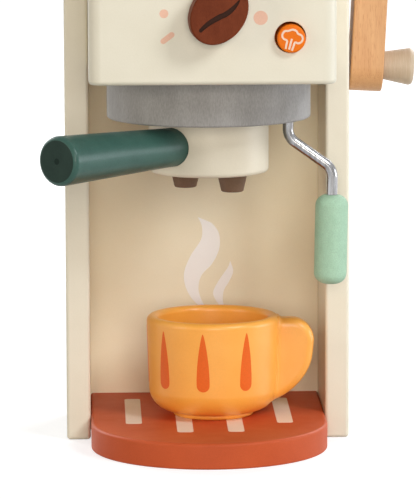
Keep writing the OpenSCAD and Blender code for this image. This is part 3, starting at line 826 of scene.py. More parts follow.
# The chrome's darker clouds, drawn out along the rod, are painted streaks of reflection.
CHROME_STREAKED = Metal(
    "chrome_painted_streaks", "chrome", (168, 168, 170), (112, 110, 108), roughness=0.16, cloud=0.8,
    cloud_size=2.2 * MM, speck=0.08, speck_size=0.6 * MM, stretch=(1.0, 1.0, 0.12),
)
STEEL = Metal("zinc_steel", "fastener_steel", (170, 170, 172), (150, 150, 154), roughness=0.34, speck=0.06)
WIRE = Metal("spring_wire", "spring_steel", (150, 152, 156), (128, 130, 136), roughness=0.3, speck=0.04)


# ---- pieces in the frame


@dataclass
class Frame:
    """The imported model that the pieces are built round."""

    nodes: dict[str, bpy.types.Object]

    def dress(self, finish: Finish, *names: str) -> None:
        """Gives a finish to CAD nodes that stay.

        Args:
            finish: the finish.
            names: the nodes.
        """
        for name in names:
            holder = self.nodes[name]
            if not holder.material_slots:
                holder.data.materials.append(finish.material())
            for place in holder.material_slots:
                place.material = finish.material()
            log.info("%s keeps its solid, in %s", name, finish.name)

    def add(
        self,
        name: str,
        mesh: bpy.types.Mesh | bmesh.types.BMesh,
        body: Body,
        finish: Finish,
        replaces: Sequence[str] = (),
        cutters: Sequence[bpy.types.Mesh] = (),
    ) -> bpy.types.Object:
        """Makes a piece, cuts it, smooths it and fixes it to its body.

        Args:
            name: the piece's name.
            mesh: its mesh or shape, in place.
            body: the body that it rides on.
            finish: its finish.
            replaces: the CAD nodes that it stands for.
            cutters: meshes that are cut out of it.

        Returns:
            The piece.
        """
        if isinstance(mesh, bmesh.types.BMesh):
            mesh = to_mesh(mesh, name)
        piece = new_object(name, mesh)
        if not piece.data.materials:
            piece.data.materials.append(finish.material())
        for cutter in cutters:
            if not cutter.materials:
                cutter.materials.append(finish.material())
            cut(piece, cutter)
        even_normals(piece)
        return self.fix(piece, body, finish, replaces)

    def fix(
        self, piece: bpy.types.Object, body: Body, finish: Finish, replaces: Sequence[str] = ()
    ) -> bpy.types.Object:
        """Fixes a finished piece to its body.

        Args:
            piece: the piece, in its place.
            body: the body that it rides on.
            finish: not used.
            replaces: the CAD nodes that it stands for.

        Returns:
            The piece.
        """
        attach(piece, body.value)
        if replaces:
            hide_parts(*replaces)
        log.info("%s: %d faces, on %s", piece.name, len(piece.data.polygons), body.value)
        return piece


def print_on(outline: Sequence[Vector], place: Matrix) -> bmesh.types.BMesh:
    """A thin printed patch: its outline stands a little proud of z = 0 in its place."""
    return slab("print", outline, -PRINT_THICKNESS, PRINT_THICKNESS, (0, 0), place)


def disc(radius: float, steps: int = 48) -> list[Vector]:
    """A round outline about the origin."""
    return arc(Vector((0, 0)), radius, 0, 2 * math.pi * (steps - 1) / steps, steps - 1)


def on_front(x: float, z: float, y: float) -> Matrix:
    """Places a piece on the front board: +Z points forwards, +Y up."""
    return shift(x, y, z) @ turn(90, "X")


# ---- case


@dataclass
class Case:
    """The board case with its hollow head."""

    frame: Frame
    board_edge: float = 2.0 * MM
    head_round: float = 7.0 * MM
    head_edge: float = 2.4 * MM
    top_edge: float = 1.6 * MM
    button_hole: tuple[float, float] = (41.4 * MM, 238.5 * MM)
    button_hole_r: float = 8.4 * MM
    hole_flare: float = 0.2 * MM
    bean_bore_r: float = 4.06 * MM
    bore_depth: float = 30 * MM
    dot_small: tuple[float, float, float] = (-26.0 * MM, 251.5 * MM, 2.35 * MM)
    dot_big: tuple[float, float, float] = (25.6 * MM, 249.0 * MM, 3.8 * MM)
    dash_from: tuple[float, float] = (-27.6 * MM, 235.9 * MM)
    dash_to: tuple[float, float] = (-20.7 * MM, 241.1 * MM)
    dash_r: float = 1.5 * MM
    seam: float = 0.6 * MM

    def build(self) -> None:
        """Builds the boards and the prints on them."""
        self.side_boards()
        self.back_board()
        self.head()
        self.top_board()
        self.head_prints()
        self.steam_print()
        self.frame.dress(DOWEL, "base_dowels", "back_dowels", "head_dowels", "top_dowels")

    def side_boards(self) -> None:
        """The two upright boards, rounded on their long edges and at the foot."""
        for side in ("left", "right"):
            low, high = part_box(f"side_panel_{side}")
            edge = self.board_edge
            outline = rounded([(x, y, edge) for x, y in box_corners(low, high)])
            board = slab(side, outline, low.z, high.z, (edge, 0))
            self.frame.add(f"side_board_{side}", board, Body.CASE, CREAM, [f"side_panel_{side}"])

    def back_board(self) -> None:
        """The board between them at the back."""
        low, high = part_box("back_panel")
        outline = rounded([(x, y, self.seam if y == low.y else 0) for x, y in box_corners(low, high)])
        board = slab("back", outline, low.z, high.z, (0, 0))
        self.frame.add("back_board", board, Body.CASE, CREAM_BACK_WARM_LIT, ["back_panel"])

    def head_block(self) -> bmesh.types.BMesh:
        """The head's whole outer form, which the boards are sawn from."""
        front_low, front_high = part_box("head_front")
        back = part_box("head_floor")[1].y
        # the form runs on past the head's back and is sawn off there, so that its lower edge stays straight
        behind = back + self.head_edge * 2
        corners = [
            (front_low.x, front_low.y, self.head_round),
            (front_high.x, front_low.y, self.head_round),
            (front_high.x, behind, 0),
            (front_low.x, behind, 0),
        ]
        block = slab("head", rounded(corners, steps=12), front_low.z, front_high.z, (self.head_edge, 0))
        keep_side(block, (0, back, 0), (0, 1, 0))
        return block

    def head(self) -> None:
        """The head's front, sides and floor."""
        front_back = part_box("head_front")[1].y
        left_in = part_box("head_side_left")[1].x
        right_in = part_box("head_side_right")[0].x
        floor_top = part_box("head_floor")[1].z
        front = self.head_block()
        keep_side(front, (0, front_back, 0), (0, 1, 0))
        bores = [self.button_bore(), self.bean_bore()]
        self.frame.add("head_front_board", front, Body.CASE, CREAM_HEAD_SHADED, ["head_front"], bores)
        for side, inner in (("left", left_in), ("right", right_in)):
            board = self.head_block()
            sign = 1 if side == "left" else -1
            keep_side(board, (0, front_back, 0), (0, -1, 0))
            keep_side(board, (inner, 0, 0), (sign, 0, 0))
            self.frame.add(f"head_side_board_{side}", board, Body.CASE, CREAM_HEAD_SHADED, [f"head_side_{side}"])
        floor = self.head_block()
        keep_side(floor, (0, front_back, 0), (0, -1, 0))
        keep_side(floor, (left_in, 0, 0), (-1, 0, 0))
        keep_side(floor, (right_in, 0, 0), (1, 0, 0))
        keep_side(floor, (0, 0, floor_top), (0, 0, 1))
        self.frame.add("head_floor_board", floor, Body.CASE, CREAM_HEAD_SHADED, ["head_floor"])

    def button_bore(self) -> bpy.types.Mesh:
        """The cutter for the button's hole, flared at the face."""
        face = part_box("head_front")[0].y
        radius, flare = self.button_hole_r, self.hole_flare
        corners = [
            (0, -self.bore_depth, 0),
            (radius, -self.bore_depth, 0),
            (radius, -flare, 0),
            (radius + flare, 0, 0),
            (radius + 2 * flare, flare, 0),
            (0, flare, 0),
        ]
        return turned("button_bore", corners, on_front(*self.button_hole, face), segments=96)

    def bean_bore(self) -> bpy.types.Mesh:
        """The cutter for the bean axle's hole."""
        profile = pin(self.bean_bore_r, -self.bore_depth, self.bore_depth)
        return lathe("bean_bore", profile, BeanKnob.place(), segments=64)

    def top_board(self) -> None:
        """The board that closes the case and the head."""
        low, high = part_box("top_board")
        head_low, head_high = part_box("head_front")
        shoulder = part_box("side_panel_left")[0].y
        corners = [
            (head_low.x, low.y, self.head_round),
            (head_high.x, low.y, self.head_round),
            (head_high.x, shoulder, 0),
            (high.x, shoulder, self.top_edge),
            (high.x, high.y, self.top_edge),
            (low.x, high.y, self.top_edge),
            (low.x, shoulder, self.top_edge),
            (head_low.x, shoulder, 0),
        ]
        board = slab("top", rounded(corners), low.z, high.z, (0, self.top_edge))
        self.frame.add("top_cover_board", board, Body.CASE, CREAM_HEAD_SHADED, ["top_board"])

    def head_prints(self) -> None:
        """Two dots and a dash beside the bean."""
        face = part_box("head_front")[0].y
        for name, (x, z, radius) in (("small", self.dot_small), ("big", self.dot_big)):
            dot = print_on(disc(radius), on_front(x, z, face))
            self.frame.add(f"head_dot_{name}", dot, Body.CASE, MARK)
        start, end = Vector(self.dash_from), Vector(self.dash_to)
        along = end - start
        heading = math.atan2(along.y, along.x)
        half = along.length / 2 - self.dash_r
        outline = arc(Vector((half, 0)), self.dash_r, -math.pi / 2, math.pi, 12)
        outline += arc(Vector((-half, 0)), self.dash_r, math.pi / 2, math.pi, 12)
        middle = (start + end) / 2
        place = on_front(middle.x, middle.y, face) @ Matrix.Rotation(heading, 4, "Z")
        self.frame.add("head_dash", print_on(outline, place), Body.CASE, MARK)

    def steam_print(self) -> None:
        """Two plain swirls of steam on the back board."""
        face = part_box("back_panel")[0].y
        place = on_front(0, 0, face)
        # both sides of each swirl, in millimetres from the middle of the plate's underside
        swirls = {
            "big": (
                [(-3.4, 117.3), (-1.1, 111.7), (-1.7, 104.1), (-7.5, 95.1), (-11.4, 85.6),
                 (-11.0, 77.4), (-7.1, 69.5), (-0.2, 63.2), (4.3, 61.9)],
                [(4.3, 61.9), (-0.6, 66.9), (-3.2, 75.2), (-1.4, 83.1), (4.8, 90.0),
                 (8.9, 98.7), (8.9, 107.3), (5.3, 113.1), (1.6, 115.2), (-3.4, 117.3)],
            ),
            "small": (
                [(14.4, 61.9), (8.8, 65.8), (5.3, 72.5), (8.4, 79.7), (13.8, 87.5), (15.3, 91.6)],
                [(15.3, 91.6), (17.0, 85.4), (14.5, 79.2), (11.5, 73.9), (11.2, 66.9), (14.4, 61.9)],
            ),
        }
        for name, sides in swirls.items():
            outline = [p * MM for side in sides for p in smooth_loop(side)[:-1]]
            self.frame.add(f"steam_swirl_{name}", print_on(outline, place), Body.CASE, STEAM)


def box_corners(low: Vector, high: Vector) -> list[tuple[float, float]]:
    """The four corners of a box seen from above, in order."""
    return [(low.x, low.y), (high.x, low.y), (high.x, high.y), (low.x, high.y)]


# ---- base plate


def stripe_tree() -> bpy.types.NodeTree:
    """Geometry tree: a row of flat stripes with round corners."""
    sizes = dict.fromkeys(("Width", "Length", "Corner", "Thickness", "Pitch"), "Float")
    tree, given, result = shape_tree("stripe_row", {**sizes, "Count": "Int"})
    value = given.outputs
    border = oblong_path(tree, value["Width"], value["Length"])
    soft = eased_path(tree, border.outputs["Curve"], value["Corner"], steps=6)
    filled = node(tree, "GeometryNodeFillCurve", {"Curve": soft.outputs["Curve"]}, mode="NGONS")
    face = filled.outputs["Mesh"]
    lift = {"Mesh": face, "Offset Scale": value["Thickness"]}
    raised = node(tree, "GeometryNodeExtrudeMesh", lift, mode="FACES")
    under = node(tree, "GeometryNodeFlipFaces", {"Mesh": face})
    joined = node(tree, "GeometryNodeJoinGeometry")
    for part in (raised, under):
        tree.links.new(part.outputs["Mesh"], joined.inputs["Geometry"])
    seams = {"Geometry": joined.outputs["Geometry"], "Distance": 1e-6}
    closed = node(tree, "GeometryNodeMergeByDistance", seams).outputs["Geometry"]
    step = node(tree, "ShaderNodeCombineXYZ", {"X": value["Pitch"]}).outputs["Vector"]
    row = node(tree, "GeometryNodeMeshLine", {"Count": value["Count"], "Offset": step}).outputs["Mesh"]
    placed = node(tree, "GeometryNodeInstanceOnPoints", {"Points": row, "Instance": closed})
    return end_tree(tree, given, result, placed.outputs["Instances"])


@dataclass
class BasePlate:
    """The drip plate with its round front end and printed stripes."""

    frame: Frame
    top_edge: float = 1.8 * MM
    low_edge: float = 1.0 * MM
    seam: float = 0.25 * MM
    stripe_w: float = 9.0 * MM
    stripe_corner: float = 2.2 * MM
    stripe_pitch: float = 28.27 * MM
    stripe_back: float = 48.0 * MM
    inner_front: float = -55.5 * MM
    outer_front: float = -29.5 * MM

    def build(self) -> None:
        """Builds the plate and its stripes."""
        low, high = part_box("base_plate")
        side = high.x - self.seam
        end = arc(Vector((0, low.y + side)), side, math.pi, math.pi, steps=96)
        outline = [*end, Vector((side, high.y)), Vector((-side, high.y))]
        plate = slab("plate", outline, low.z, high.z, (self.low_edge, self.top_edge))
        self.frame.add("drip_plate", plate, Body.CASE, PLATE, ["base_plate"])
        self.stripes("inner", self.stripe_pitch, self.inner_front, high.z)
        self.stripes("outer", 3 * self.stripe_pitch, self.outer_front, high.z)

    def stripes(self, name: str, pitch: float, front: float, top: float) -> None:
        """A pair of stripes, mirrored about the centre plane.

        Args:
            name: which pair it is.
            pitch: distance between the two.
            front: where they end at the front.
            top: height of the plate's upper face.
        """
        values = {
            "Width": self.stripe_w,
            "Length": self.stripe_back - front,
            "Corner": self.stripe_corner,
            "Thickness": 2 * PRINT_THICKNESS,
            "Pitch": pitch,
            "Count": 2,
            "Material": STRIPE.material(),
        }
        row = run_tree(empty_object(f"plate_stripes_{name}"), "stripe_row", stripe_tree, values)
        row.data.transform(shift(-pitch / 2, (self.stripe_back + front) / 2, top - PRINT_THICKNESS))
        self.frame.fix(row, Body.CASE, STRIPE)


# ---- brew head and portafilter

BREW_AXIS = (0.0, -30 * MM)


@dataclass
class BrewHead:
    """The grey turned disc under the head, with its magnet."""

    frame: Frame
    edge: float = 1.3 * MM
    magnet_fit: float = 0.05 * MM
    magnet_edge: float = 0.4 * MM
    rod_hole_r: float = 3.35 * MM
    rod_hole_z: tuple[float, float] = (-5 * MM, 6 * MM)

    def build(self) -> None:
        """Builds the disc and dresses its fittings."""
        low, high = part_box("brew_head")
        magnet_low, magnet_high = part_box("head_magnet")
        radius = (high.x - low.x) / 2
        magnet_r = (magnet_high.x - magnet_low.x) / 2 + self.magnet_fit
        corners = [
            (0, magnet_high.z, 0),
            (magnet_r, magnet_high.z, 0),
            (magnet_r, low.z, self.magnet_edge),
            (radius, low.z, self.edge),
            (radius, high.z, 0),
            (0, high.z, 0),
        ]
        hole = pin(self.rod_hole_r, *self.rod_hole_z)
        bore = lathe("rod_hole", hole, SteamWand.place() @ shift(0, 0, low.z), segments=48)
        plate = turned("brew_disc", corners, shift(*BREW_AXIS, 0), segments=192)
        self.frame.add("brew_disc", plate, Body.CASE, GREY, ["brew_head"], [bore])
        self.frame.dress(STEEL, "head_magnet", "brew_head_screws")


@dataclass
class Portafilter:
    """The turned portafilter with its handle and two spouts."""

    frame: Frame
    edge: float = 2.5 * MM
    top_edge: float = 0.6 * MM
    handle_turn: float = 39.8
    handle_tilt: float = 1.0
    handle_up: float = 16 * MM
    handle_start: float = 18.3 * MM
    handle_taper: float = 34.25 * MM
    handle_swell: float = 60 * MM
    handle_len: float = 130.6 * MM
    handle_r_in: float = 10.6 * MM
    handle_r_out: float = 13.5 * MM
    handle_round: float = 3.0 * MM
    handle_seam: float = 0.22 * MM
    end_turn: float = math.radians(16)
    end_taper: float = 0.08 * MM
    end_recess: float = 0.06 * MM
    end_dimple: float = 0.6 * MM
    end_clear: float = 1 * MM
    dimple_r: float = 1.9 * MM
    keeper_fit: float = 0.3 * MM
    recess_edge: float = 0.3 * MM
    spout_off: float = 16.5 * MM
    spout_r_top: float = 8.4 * MM
    spout_r_low: float = 6.1 * MM
    spout_edge: float = 1.1 * MM
    spout_top_edge: float = 0.25 * MM

    def build(self) -> None:
        """Builds the body, handle and spouts and dresses the fittings."""
        low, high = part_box("portafilter_body")
        self.body(low, high)
        self.handle(low)
        for side, sign in (("left", -1), ("right", 1)):
            self.spout(side, sign, low)
        self.frame.dress(STEEL, "keeper_plate", "portafilter_screw")

    def along_handle(self, low: Vector) -> Matrix:
        """Places a piece along the handle: +Z runs outwards from the body's axis."""
        return (
            shift(*BREW_AXIS, low.z + self.handle_up)
            @ turn(-self.handle_turn, "Z")
            @ turn(90 - self.handle_tilt, "X")
        )

    def body(self, low: Vector, high: Vector) -> None:
        """The turned body, with the keeper's recess on top and the handle's bore.

        Args:
            low: lowest corner of the CAD body.
            high: highest corner of the CAD body.
        """
        radius = (high.x - low.x) / 2
        keeper_low, keeper_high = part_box("keeper_plate")
        recess_r = (keeper_high.x - keeper_low.x) / 2 + self.keeper_fit
        recess_z = keeper_low.z - self.keeper_fit
        corners = [
            (0, low.z, 0),
            (radius, low.z, self.edge),
            (radius, high.z, self.top_edge),
            (recess_r, high.z, self.recess_edge),
            (recess_r, recess_z, 0),
            (0, recess_z, 0),
        ]
        hole = pin(self.handle_r_in + self.handle_seam, self.handle_start, 2 * radius)
        bore = lathe("handle_bore", hole, self.along_handle(low), segments=96)
        bowl = turned("portafilter_bowl", corners, shift(*BREW_AXIS, 0), segments=160)
        self.frame.add(
            "portafilter_bowl", bowl, Body.PORTAFILTER, CREAM_TURNED, ["portafilter_body"], [bore]
        )

    def handle(self, low: Vector) -> None:
        """The tapered handle with a soft outer end and the lathe's dimple in it."""
        end = self.handle_len
        over = end + self.end_clear
        corners = [
            (0, self.handle_start, 0),
            (self.handle_r_in, self.handle_start, 0),
            (self.handle_r_in, self.handle_taper, self.handle_swell),
            (self.handle_r_out, end, self.handle_round),
            (0, end, 0),
        ]
        stick = turned("green_handle", corners, self.along_handle(low), steps=12)
        # the end face is painted darker as shade, where it faces away from the key lamp: its patch follows
        # the rounding a little way down
        middle_r = self.handle_r_out - self.handle_round - self.end_taper
        middle = Vector((middle_r, end - self.handle_round))
        rim = arc(middle, self.handle_round - self.end_recess, math.pi / 2, -self.end_turn, steps=6)
        above = Vector((0, over))
        face = [Vector((0, end - self.end_recess)), *rim, Vector((self.handle_r_out, over)), above]
        # the dimple's cutter paints its hollow darker, as painted shade
        cone = [(0, end - self.end_dimple), (self.dimple_r, end), (self.dimple_r, over)]
        dimple = [*(Vector(point) for point in cone), above]
        cutters = []
        for profile, finish in ((face, GREEN_END_SHADE), (dimple, GREEN_DIMPLE_SHADE)):
            cutter = lathe("handle_end", profile, self.along_handle(low), segments=96)
            cutter.materials.append(finish.material())
            cutters.append(cutter)
        self.frame.add("green_handle", stick, Body.PORTAFILTER, GREEN, ["portafilter_handle"], cutters)

    def spout(self, side: str, sign: int, low: Vector) -> None:
        """One spout under the body.

        Args:
            side: which side it is on.
            sign: -1 for the left, 1 for the right.
            low: lowest corner of the CAD body.
        """
        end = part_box(f"spout_{side}")[0].z - low.z
        corners = [
            (0, end, 0),
            (self.spout_r_low, end, self.spout_edge),
            (self.spout_r_top, 0, self.spout_top_edge),
            (0, 0, 0),
        ]
        place = shift(*BREW_AXIS, low.z) @ turn(-self.handle_turn, "Z") @ shift(sign * self.spout_off, 0, 0)
        spout = turned(f"brown_spout_{side}", corners, place, segments=96)
        self.frame.add(f"brown_spout_{side}", spout, Body.PORTAFILTER, BROWN, [f"spout_{side}"])


# ---- steam wand


def rod_tree() -> bpy.types.NodeTree:
    """Geometry tree: a round rod along a path whose corners are bent to a radius."""
    tree, given, result = shape_tree("bent_rod", {"Bend Radius": "Float", "Rod Radius": "Float"})
    bent = eased_path(tree, given.outputs["Geometry"], given.outputs["Bend Radius"], steps=20)
    section = circle_path(tree, given.outputs["Rod Radius"], steps=40)
    return end_tree(tree, given, result, swept(tree, bent, section))


def path_object(name: str, points: Sequence[Sequence[float]]) -> bpy.types.Object:
    """A curve of straight stretches through points."""
    curve = bpy.data.curves.new(name, "CURVE")
    curve.dimensions = "3D"
    run = curve.splines.new("POLY")
    run.points.add(len(points) - 1)
    for place, point in zip(run.points, points):
        place.co = (*point, 1.0)
    return new_object(name, curve)


@dataclass
class SteamWand:
    """The bent chrome rod with its mint grip."""

    frame: Frame
    axis_x: float = 44.2 * MM
    lean: float = 1.2
    rod_r: float = 3.0 * MM
    bend_r: float = 9.5 * MM
    bend_z: float = 175.6 * MM
    slope: float = 34.4
    reach: float = 25.2 * MM
    grip_r: float = 9.1 * MM
    grip_short: float = 1.0 * MM
    grip_round: float = 6.2 * MM
    hole_fit: float = 0.15 * MM
    hole_edge: float = 0.5 * MM
    hole_depth: float = 3 * MM

    @classmethod
    def place(cls) -> Matrix:
        """The wand's axis, which leans about the brew head's lower face."""
        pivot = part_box("brew_head")[0].z
        return shift(cls.axis_x, BREW_AXIS[1], pivot) @ turn(cls.lean, "Y") @ shift(0, 0, -pivot)

    def build(self) -> None:
        """Builds the rod and the grip and dresses the nut."""
        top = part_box("wand_rod")[1].z
        grip_low, grip_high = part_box("wand_grip")
        grip_z = grip_low.z
        drop = self.reach * math.tan(math.radians(self.slope))
        corners = [
            (0, 0, top),
            (0, 0, self.bend_z),
            (self.reach, 0, self.bend_z - drop),
            (self.reach, 0, grip_z + 2 * self.grip_round),
        ]
        values = {"Bend Radius": self.bend_r, "Rod Radius": self.rod_r, "Material": CHROME_STREAKED.material()}
        rod = run_tree(path_object("chrome_rod", corners), "bent_rod", rod_tree, values)
        rod.data.transform(self.place())
        even_normals(rod)
        self.frame.fix(rod, Body.WAND, CHROME_STREAKED, ["wand_rod"])
        low = grip_z + self.grip_short
        self.grip(grip_high.z - low, low)
        self.frame.dress(STEEL, "wand_push_nut")

    def grip(self, length: float, low: float) -> None:
        """The turned grip with round ends, let in round the rod.

        Args:
            length: its length.
            low: height of its lower end.
        """
        hole_r = self.rod_r + self.hole_fit
        corners = [
            (0, 0, 0),
            (self.grip_r, 0, self.grip_round),
            (self.grip_r, length, self.grip_round),
            (hole_r, length, self.hole_edge),
            (hole_r, length - self.hole_depth, 0),
            (0, length - self.hole_depth, 0),
        ]
        grip = turned("mint_grip", corners, self.place() @ shift(self.reach, 0, low), steps=12)
        self.frame.add("mint_grip", grip, Body.WAND, MINT, ["wand_grip"])


# ---- bean knob


@dataclass
class BeanKnob:
    """The coffee bean on the head's front, with its groove."""

    frame: Frame
    axis: tuple[float, float] = (2 * MM, 252.5 * MM)
    lean: float = 5
    half_length: float = 18 * MM
    half_width: float = 14.2 * MM
    thickness: float = 12 * MM
    edge: float = 1.0 * MM
    turn_up: float = 52.8
    gap: float = 1.87 * MM
    groove_turn: float = 37.5
    groove_len: float = 26.6 * MM
    groove_w: float = 2.6 * MM
    groove_d: float = 0.9 * MM
    groove_low: float = 0.9 * MM
    groove_sway: float = 1.7 * MM
    groove_skew: float = 0.9
    groove_wave: float = 0.55
    groove_sag: float = 0.45
    groove_start: float = 0.75
    groove_swell: tuple[float, float] = (0.8, 0.4)

    @classmethod
    def place(cls) -> Matrix:
        """The bean's axis: it leans sideways in its loose hole, +Z points forwards."""
        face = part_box("head_front")[0].y
        return shift(cls.axis[0], face, cls.axis[1]) @ turn(cls.lean, "Z") @ turn(90, "X")

    def build(self) -> None:
        """Builds the bean and dresses its axle."""
        steps = 96
        angles = [2 * math.pi * i / steps for i in range(steps)]
        outline = [Vector((self.half_length * math.cos(a), self.half_width * math.sin(a))) for a in angles]
        place = self.place() @ shift(0, 0, self.gap)
        edges = (self.edge, self.edge)
        bean = slab("bean", outline, 0, self.thickness, edges, place @ turn(self.turn_up, "Z"))
        low, high = self.thickness - self.groove_d, self.thickness + self.groove_d
        cutter = slab("groove", self.groove(), low, high, (0, 0), place @ turn(self.groove_turn, "Z"))
        tool = to_mesh(cutter, "groove")
        tool.materials.append(GROOVE.material())
        self.frame.add("bean_turned", bean, Body.BEAN, BEAN, ["bean_knob"], [tool])
        self.frame.dress(DOWEL, "bean_axle")
        self.frame.dress(STEEL, "bean_washer", "bean_screw")

    def groove(self) -> list[Vector]:
        """The groove's outline: a shallow S that swells past its middle and ends in a point."""
        steps = 20
        shares = [i / steps for i in range(steps + 1)]

        def side(u: float, sign: int) -> Vector:
            """A point on one side of the groove."""
            wave = math.sin(2 * math.pi * u**self.groove_skew)
            bend = wave * self.groove_wave - self.groove_sag * math.sin(math.pi * u)
            strength = 1 if u > 0.5 else self.groove_start
            across = -self.groove_low + self.groove_sway * bend * strength
            thin, thick = self.groove_swell
            swell = thin + thick * math.sin(math.radians(150) * u)
            half = self.groove_w / 2 * swell * math.sqrt(max(0.0, 1 - u**4))
            return Vector(((u - 0.5) * self.groove_len, across + sign * half))

        lower = [side(u, -1) for u in shares]
        upper = [side(u, 1) for u in reversed(shares[:-1])]
        blunt = (upper[-1] - lower[0]).length / 2
        start = (upper[-1] + lower[0]) / 2
        cap = arc(start, blunt, math.pi / 2, math.pi, 10)[1:-1]
        return [*lower, *upper, *cap]


# ---- steam button


def ribbon_tree() -> bpy.types.NodeTree:
    """Geometry tree: a flat printed line along a path, with its corners eased."""
    tree, given, result = shape_tree("printed_line", {"Width": "Float", "Thickness": "Float"})
    line = {"Curve": given.outputs["Geometry"]}
    flow = node(tree, "GeometryNodeCurveSplineType", line, spline_type="CATMULL_ROM")
    even = node(tree, "GeometryNodeResampleCurve", {"Curve": flow.outputs["Curve"], "Count": 120})
    upright = node(tree, "GeometryNodeSetCurveNormal", {"Curve": even.outputs["Curve"]}, mode="Z_UP")
    section = oblong_path(tree, given.outputs["Width"], given.outputs["Thickness"])
    return end_tree(tree, given, result, swept(tree, upright, section))


def spring_tree() -> bpy.types.NodeTree:
    """Geometry tree: a coil of round wire that rises along Z."""
    sizes = dict.fromkeys(("Turns", "Coil Radius", "Wire Radius", "Rise"), "Float")
    tree, given, result = shape_tree("coil_spring", sizes)
    value = given.outputs
    run = {"Resolution": 40, "Rotations": value["Turns"], "Height": value["Rise"]}
    ends = {"Start Radius": value["Coil Radius"], "End Radius": value["Coil Radius"]}
    coil = node(tree, "GeometryNodeCurveSpiral", {**run, **ends})
    section = circle_path(tree, value["Wire Radius"], steps=12)
    return end_tree(tree, given, result, swept(tree, coil, section))


@dataclass
class SteamButton:
    """The push button with a printed puff of steam."""

    frame: Frame
    face_r: float = 7.6 * MM
    edge: float = 1.1 * MM
    crown: float = 0.25 * MM
    flange_t: float = 2 * MM
    flange_edge: float = 0.3 * MM
    line: float = 1.05 * MM
    slack: float = 0.45 * MM
    spring_turns: float = 5.0
    spring_keep: float = 0.7
    wire_r: float = 0.5 * MM

    def build(self) -> None:
        """Builds the button and its symbol and dresses what is behind it."""
        low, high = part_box("steam_button")
        flange_r = (high.x - low.x) / 2
        length = high.y - low.y
        # the button sits loose in its hole and rests against the side away from the case's middle
        middle = ((low.x + high.x) / 2 + self.slack, (low.z + high.z) / 2)
        corners = [
            (0, 0, 0),
            (flange_r, 0, self.flange_edge),
            (flange_r, self.flange_t, self.flange_edge),
            (self.face_r, self.flange_t, 0),
            (self.face_r, length - self.crown, self.edge),
            (0, length, 0),
        ]
        button = turned("orange_button", corners, on_front(*middle, high.y), segments=96)
        self.frame.add("orange_button", button, Body.BUTTON, BUTTON, ["steam_button"])
        self.symbol(on_front(*middle, low.y))
        self.spring()
        self.frame.dress(DOWEL, "button_housing")

    def spring(self) -> None:
        """The coil spring behind the button."""
        low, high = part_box("button_spring")
        middle = (low + high) / 2
        values = {
            "Turns": self.spring_turns,
            "Coil Radius": (high.z - low.z) / 2 - self.wire_r,
            "Wire Radius": self.wire_r,
            "Rise": high.y - low.y - 2 * self.wire_r,
            "Material": WIRE.material(),
        }
        coil = run_tree(empty_object("return_spring"), "coil_spring", spring_tree, values)
        coil.data.transform(on_front(middle.x, middle.z, high.y - self.wire_r))
        even_normals(coil)
        self.frame.fix(coil, Body.CASE, WIRE, ["button_spring"])
        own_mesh(coil)

    def symbol(self, place: Matrix) -> None:
        """The printed puff: one winding outline and a stroke in its middle.

        Args:
            place: the middle of the button's face.
        """
        # in millimetres from the middle of the face
        puff = [
            (-3.1, -5.3), (-2.75, -3.1), (-2.4, -0.97), (-4.3, 0.2), (-4.95, 2.1), (-3.7, 4.1), (-1.6, 4.3),
            (0.6, 4.95), (2.6, 4.2), (3.5, 2.75), (5.2, 1.9), (6.0, 0.2), (5.3, -1.6), (3.6, -2.4),
            (1.9, -1.9), (1.0, -4.1), (0.15, -6.3),
        ]
        stroke = [(0.2, 0.05), (-0.55, -2.8), (-1.3, -5.7)]
        values = {"Width": self.line, "Thickness": 4 * PRINT_THICKNESS, "Material": ICON.material()}
        for name, points in (("puff", puff), ("stroke", stroke)):
            path = path_object(f"button_symbol_{name}", [(x * MM, y * MM, 0) for x, y in points])
            line = run_tree(path, "printed_line", ribbon_tree, values)
            line.data.transform(place @ shift(0, 0, -PRINT_THICKNESS))
            even_normals(line)
            self.frame.fix(line, Body.BUTTON, ICON)


# ---- crank


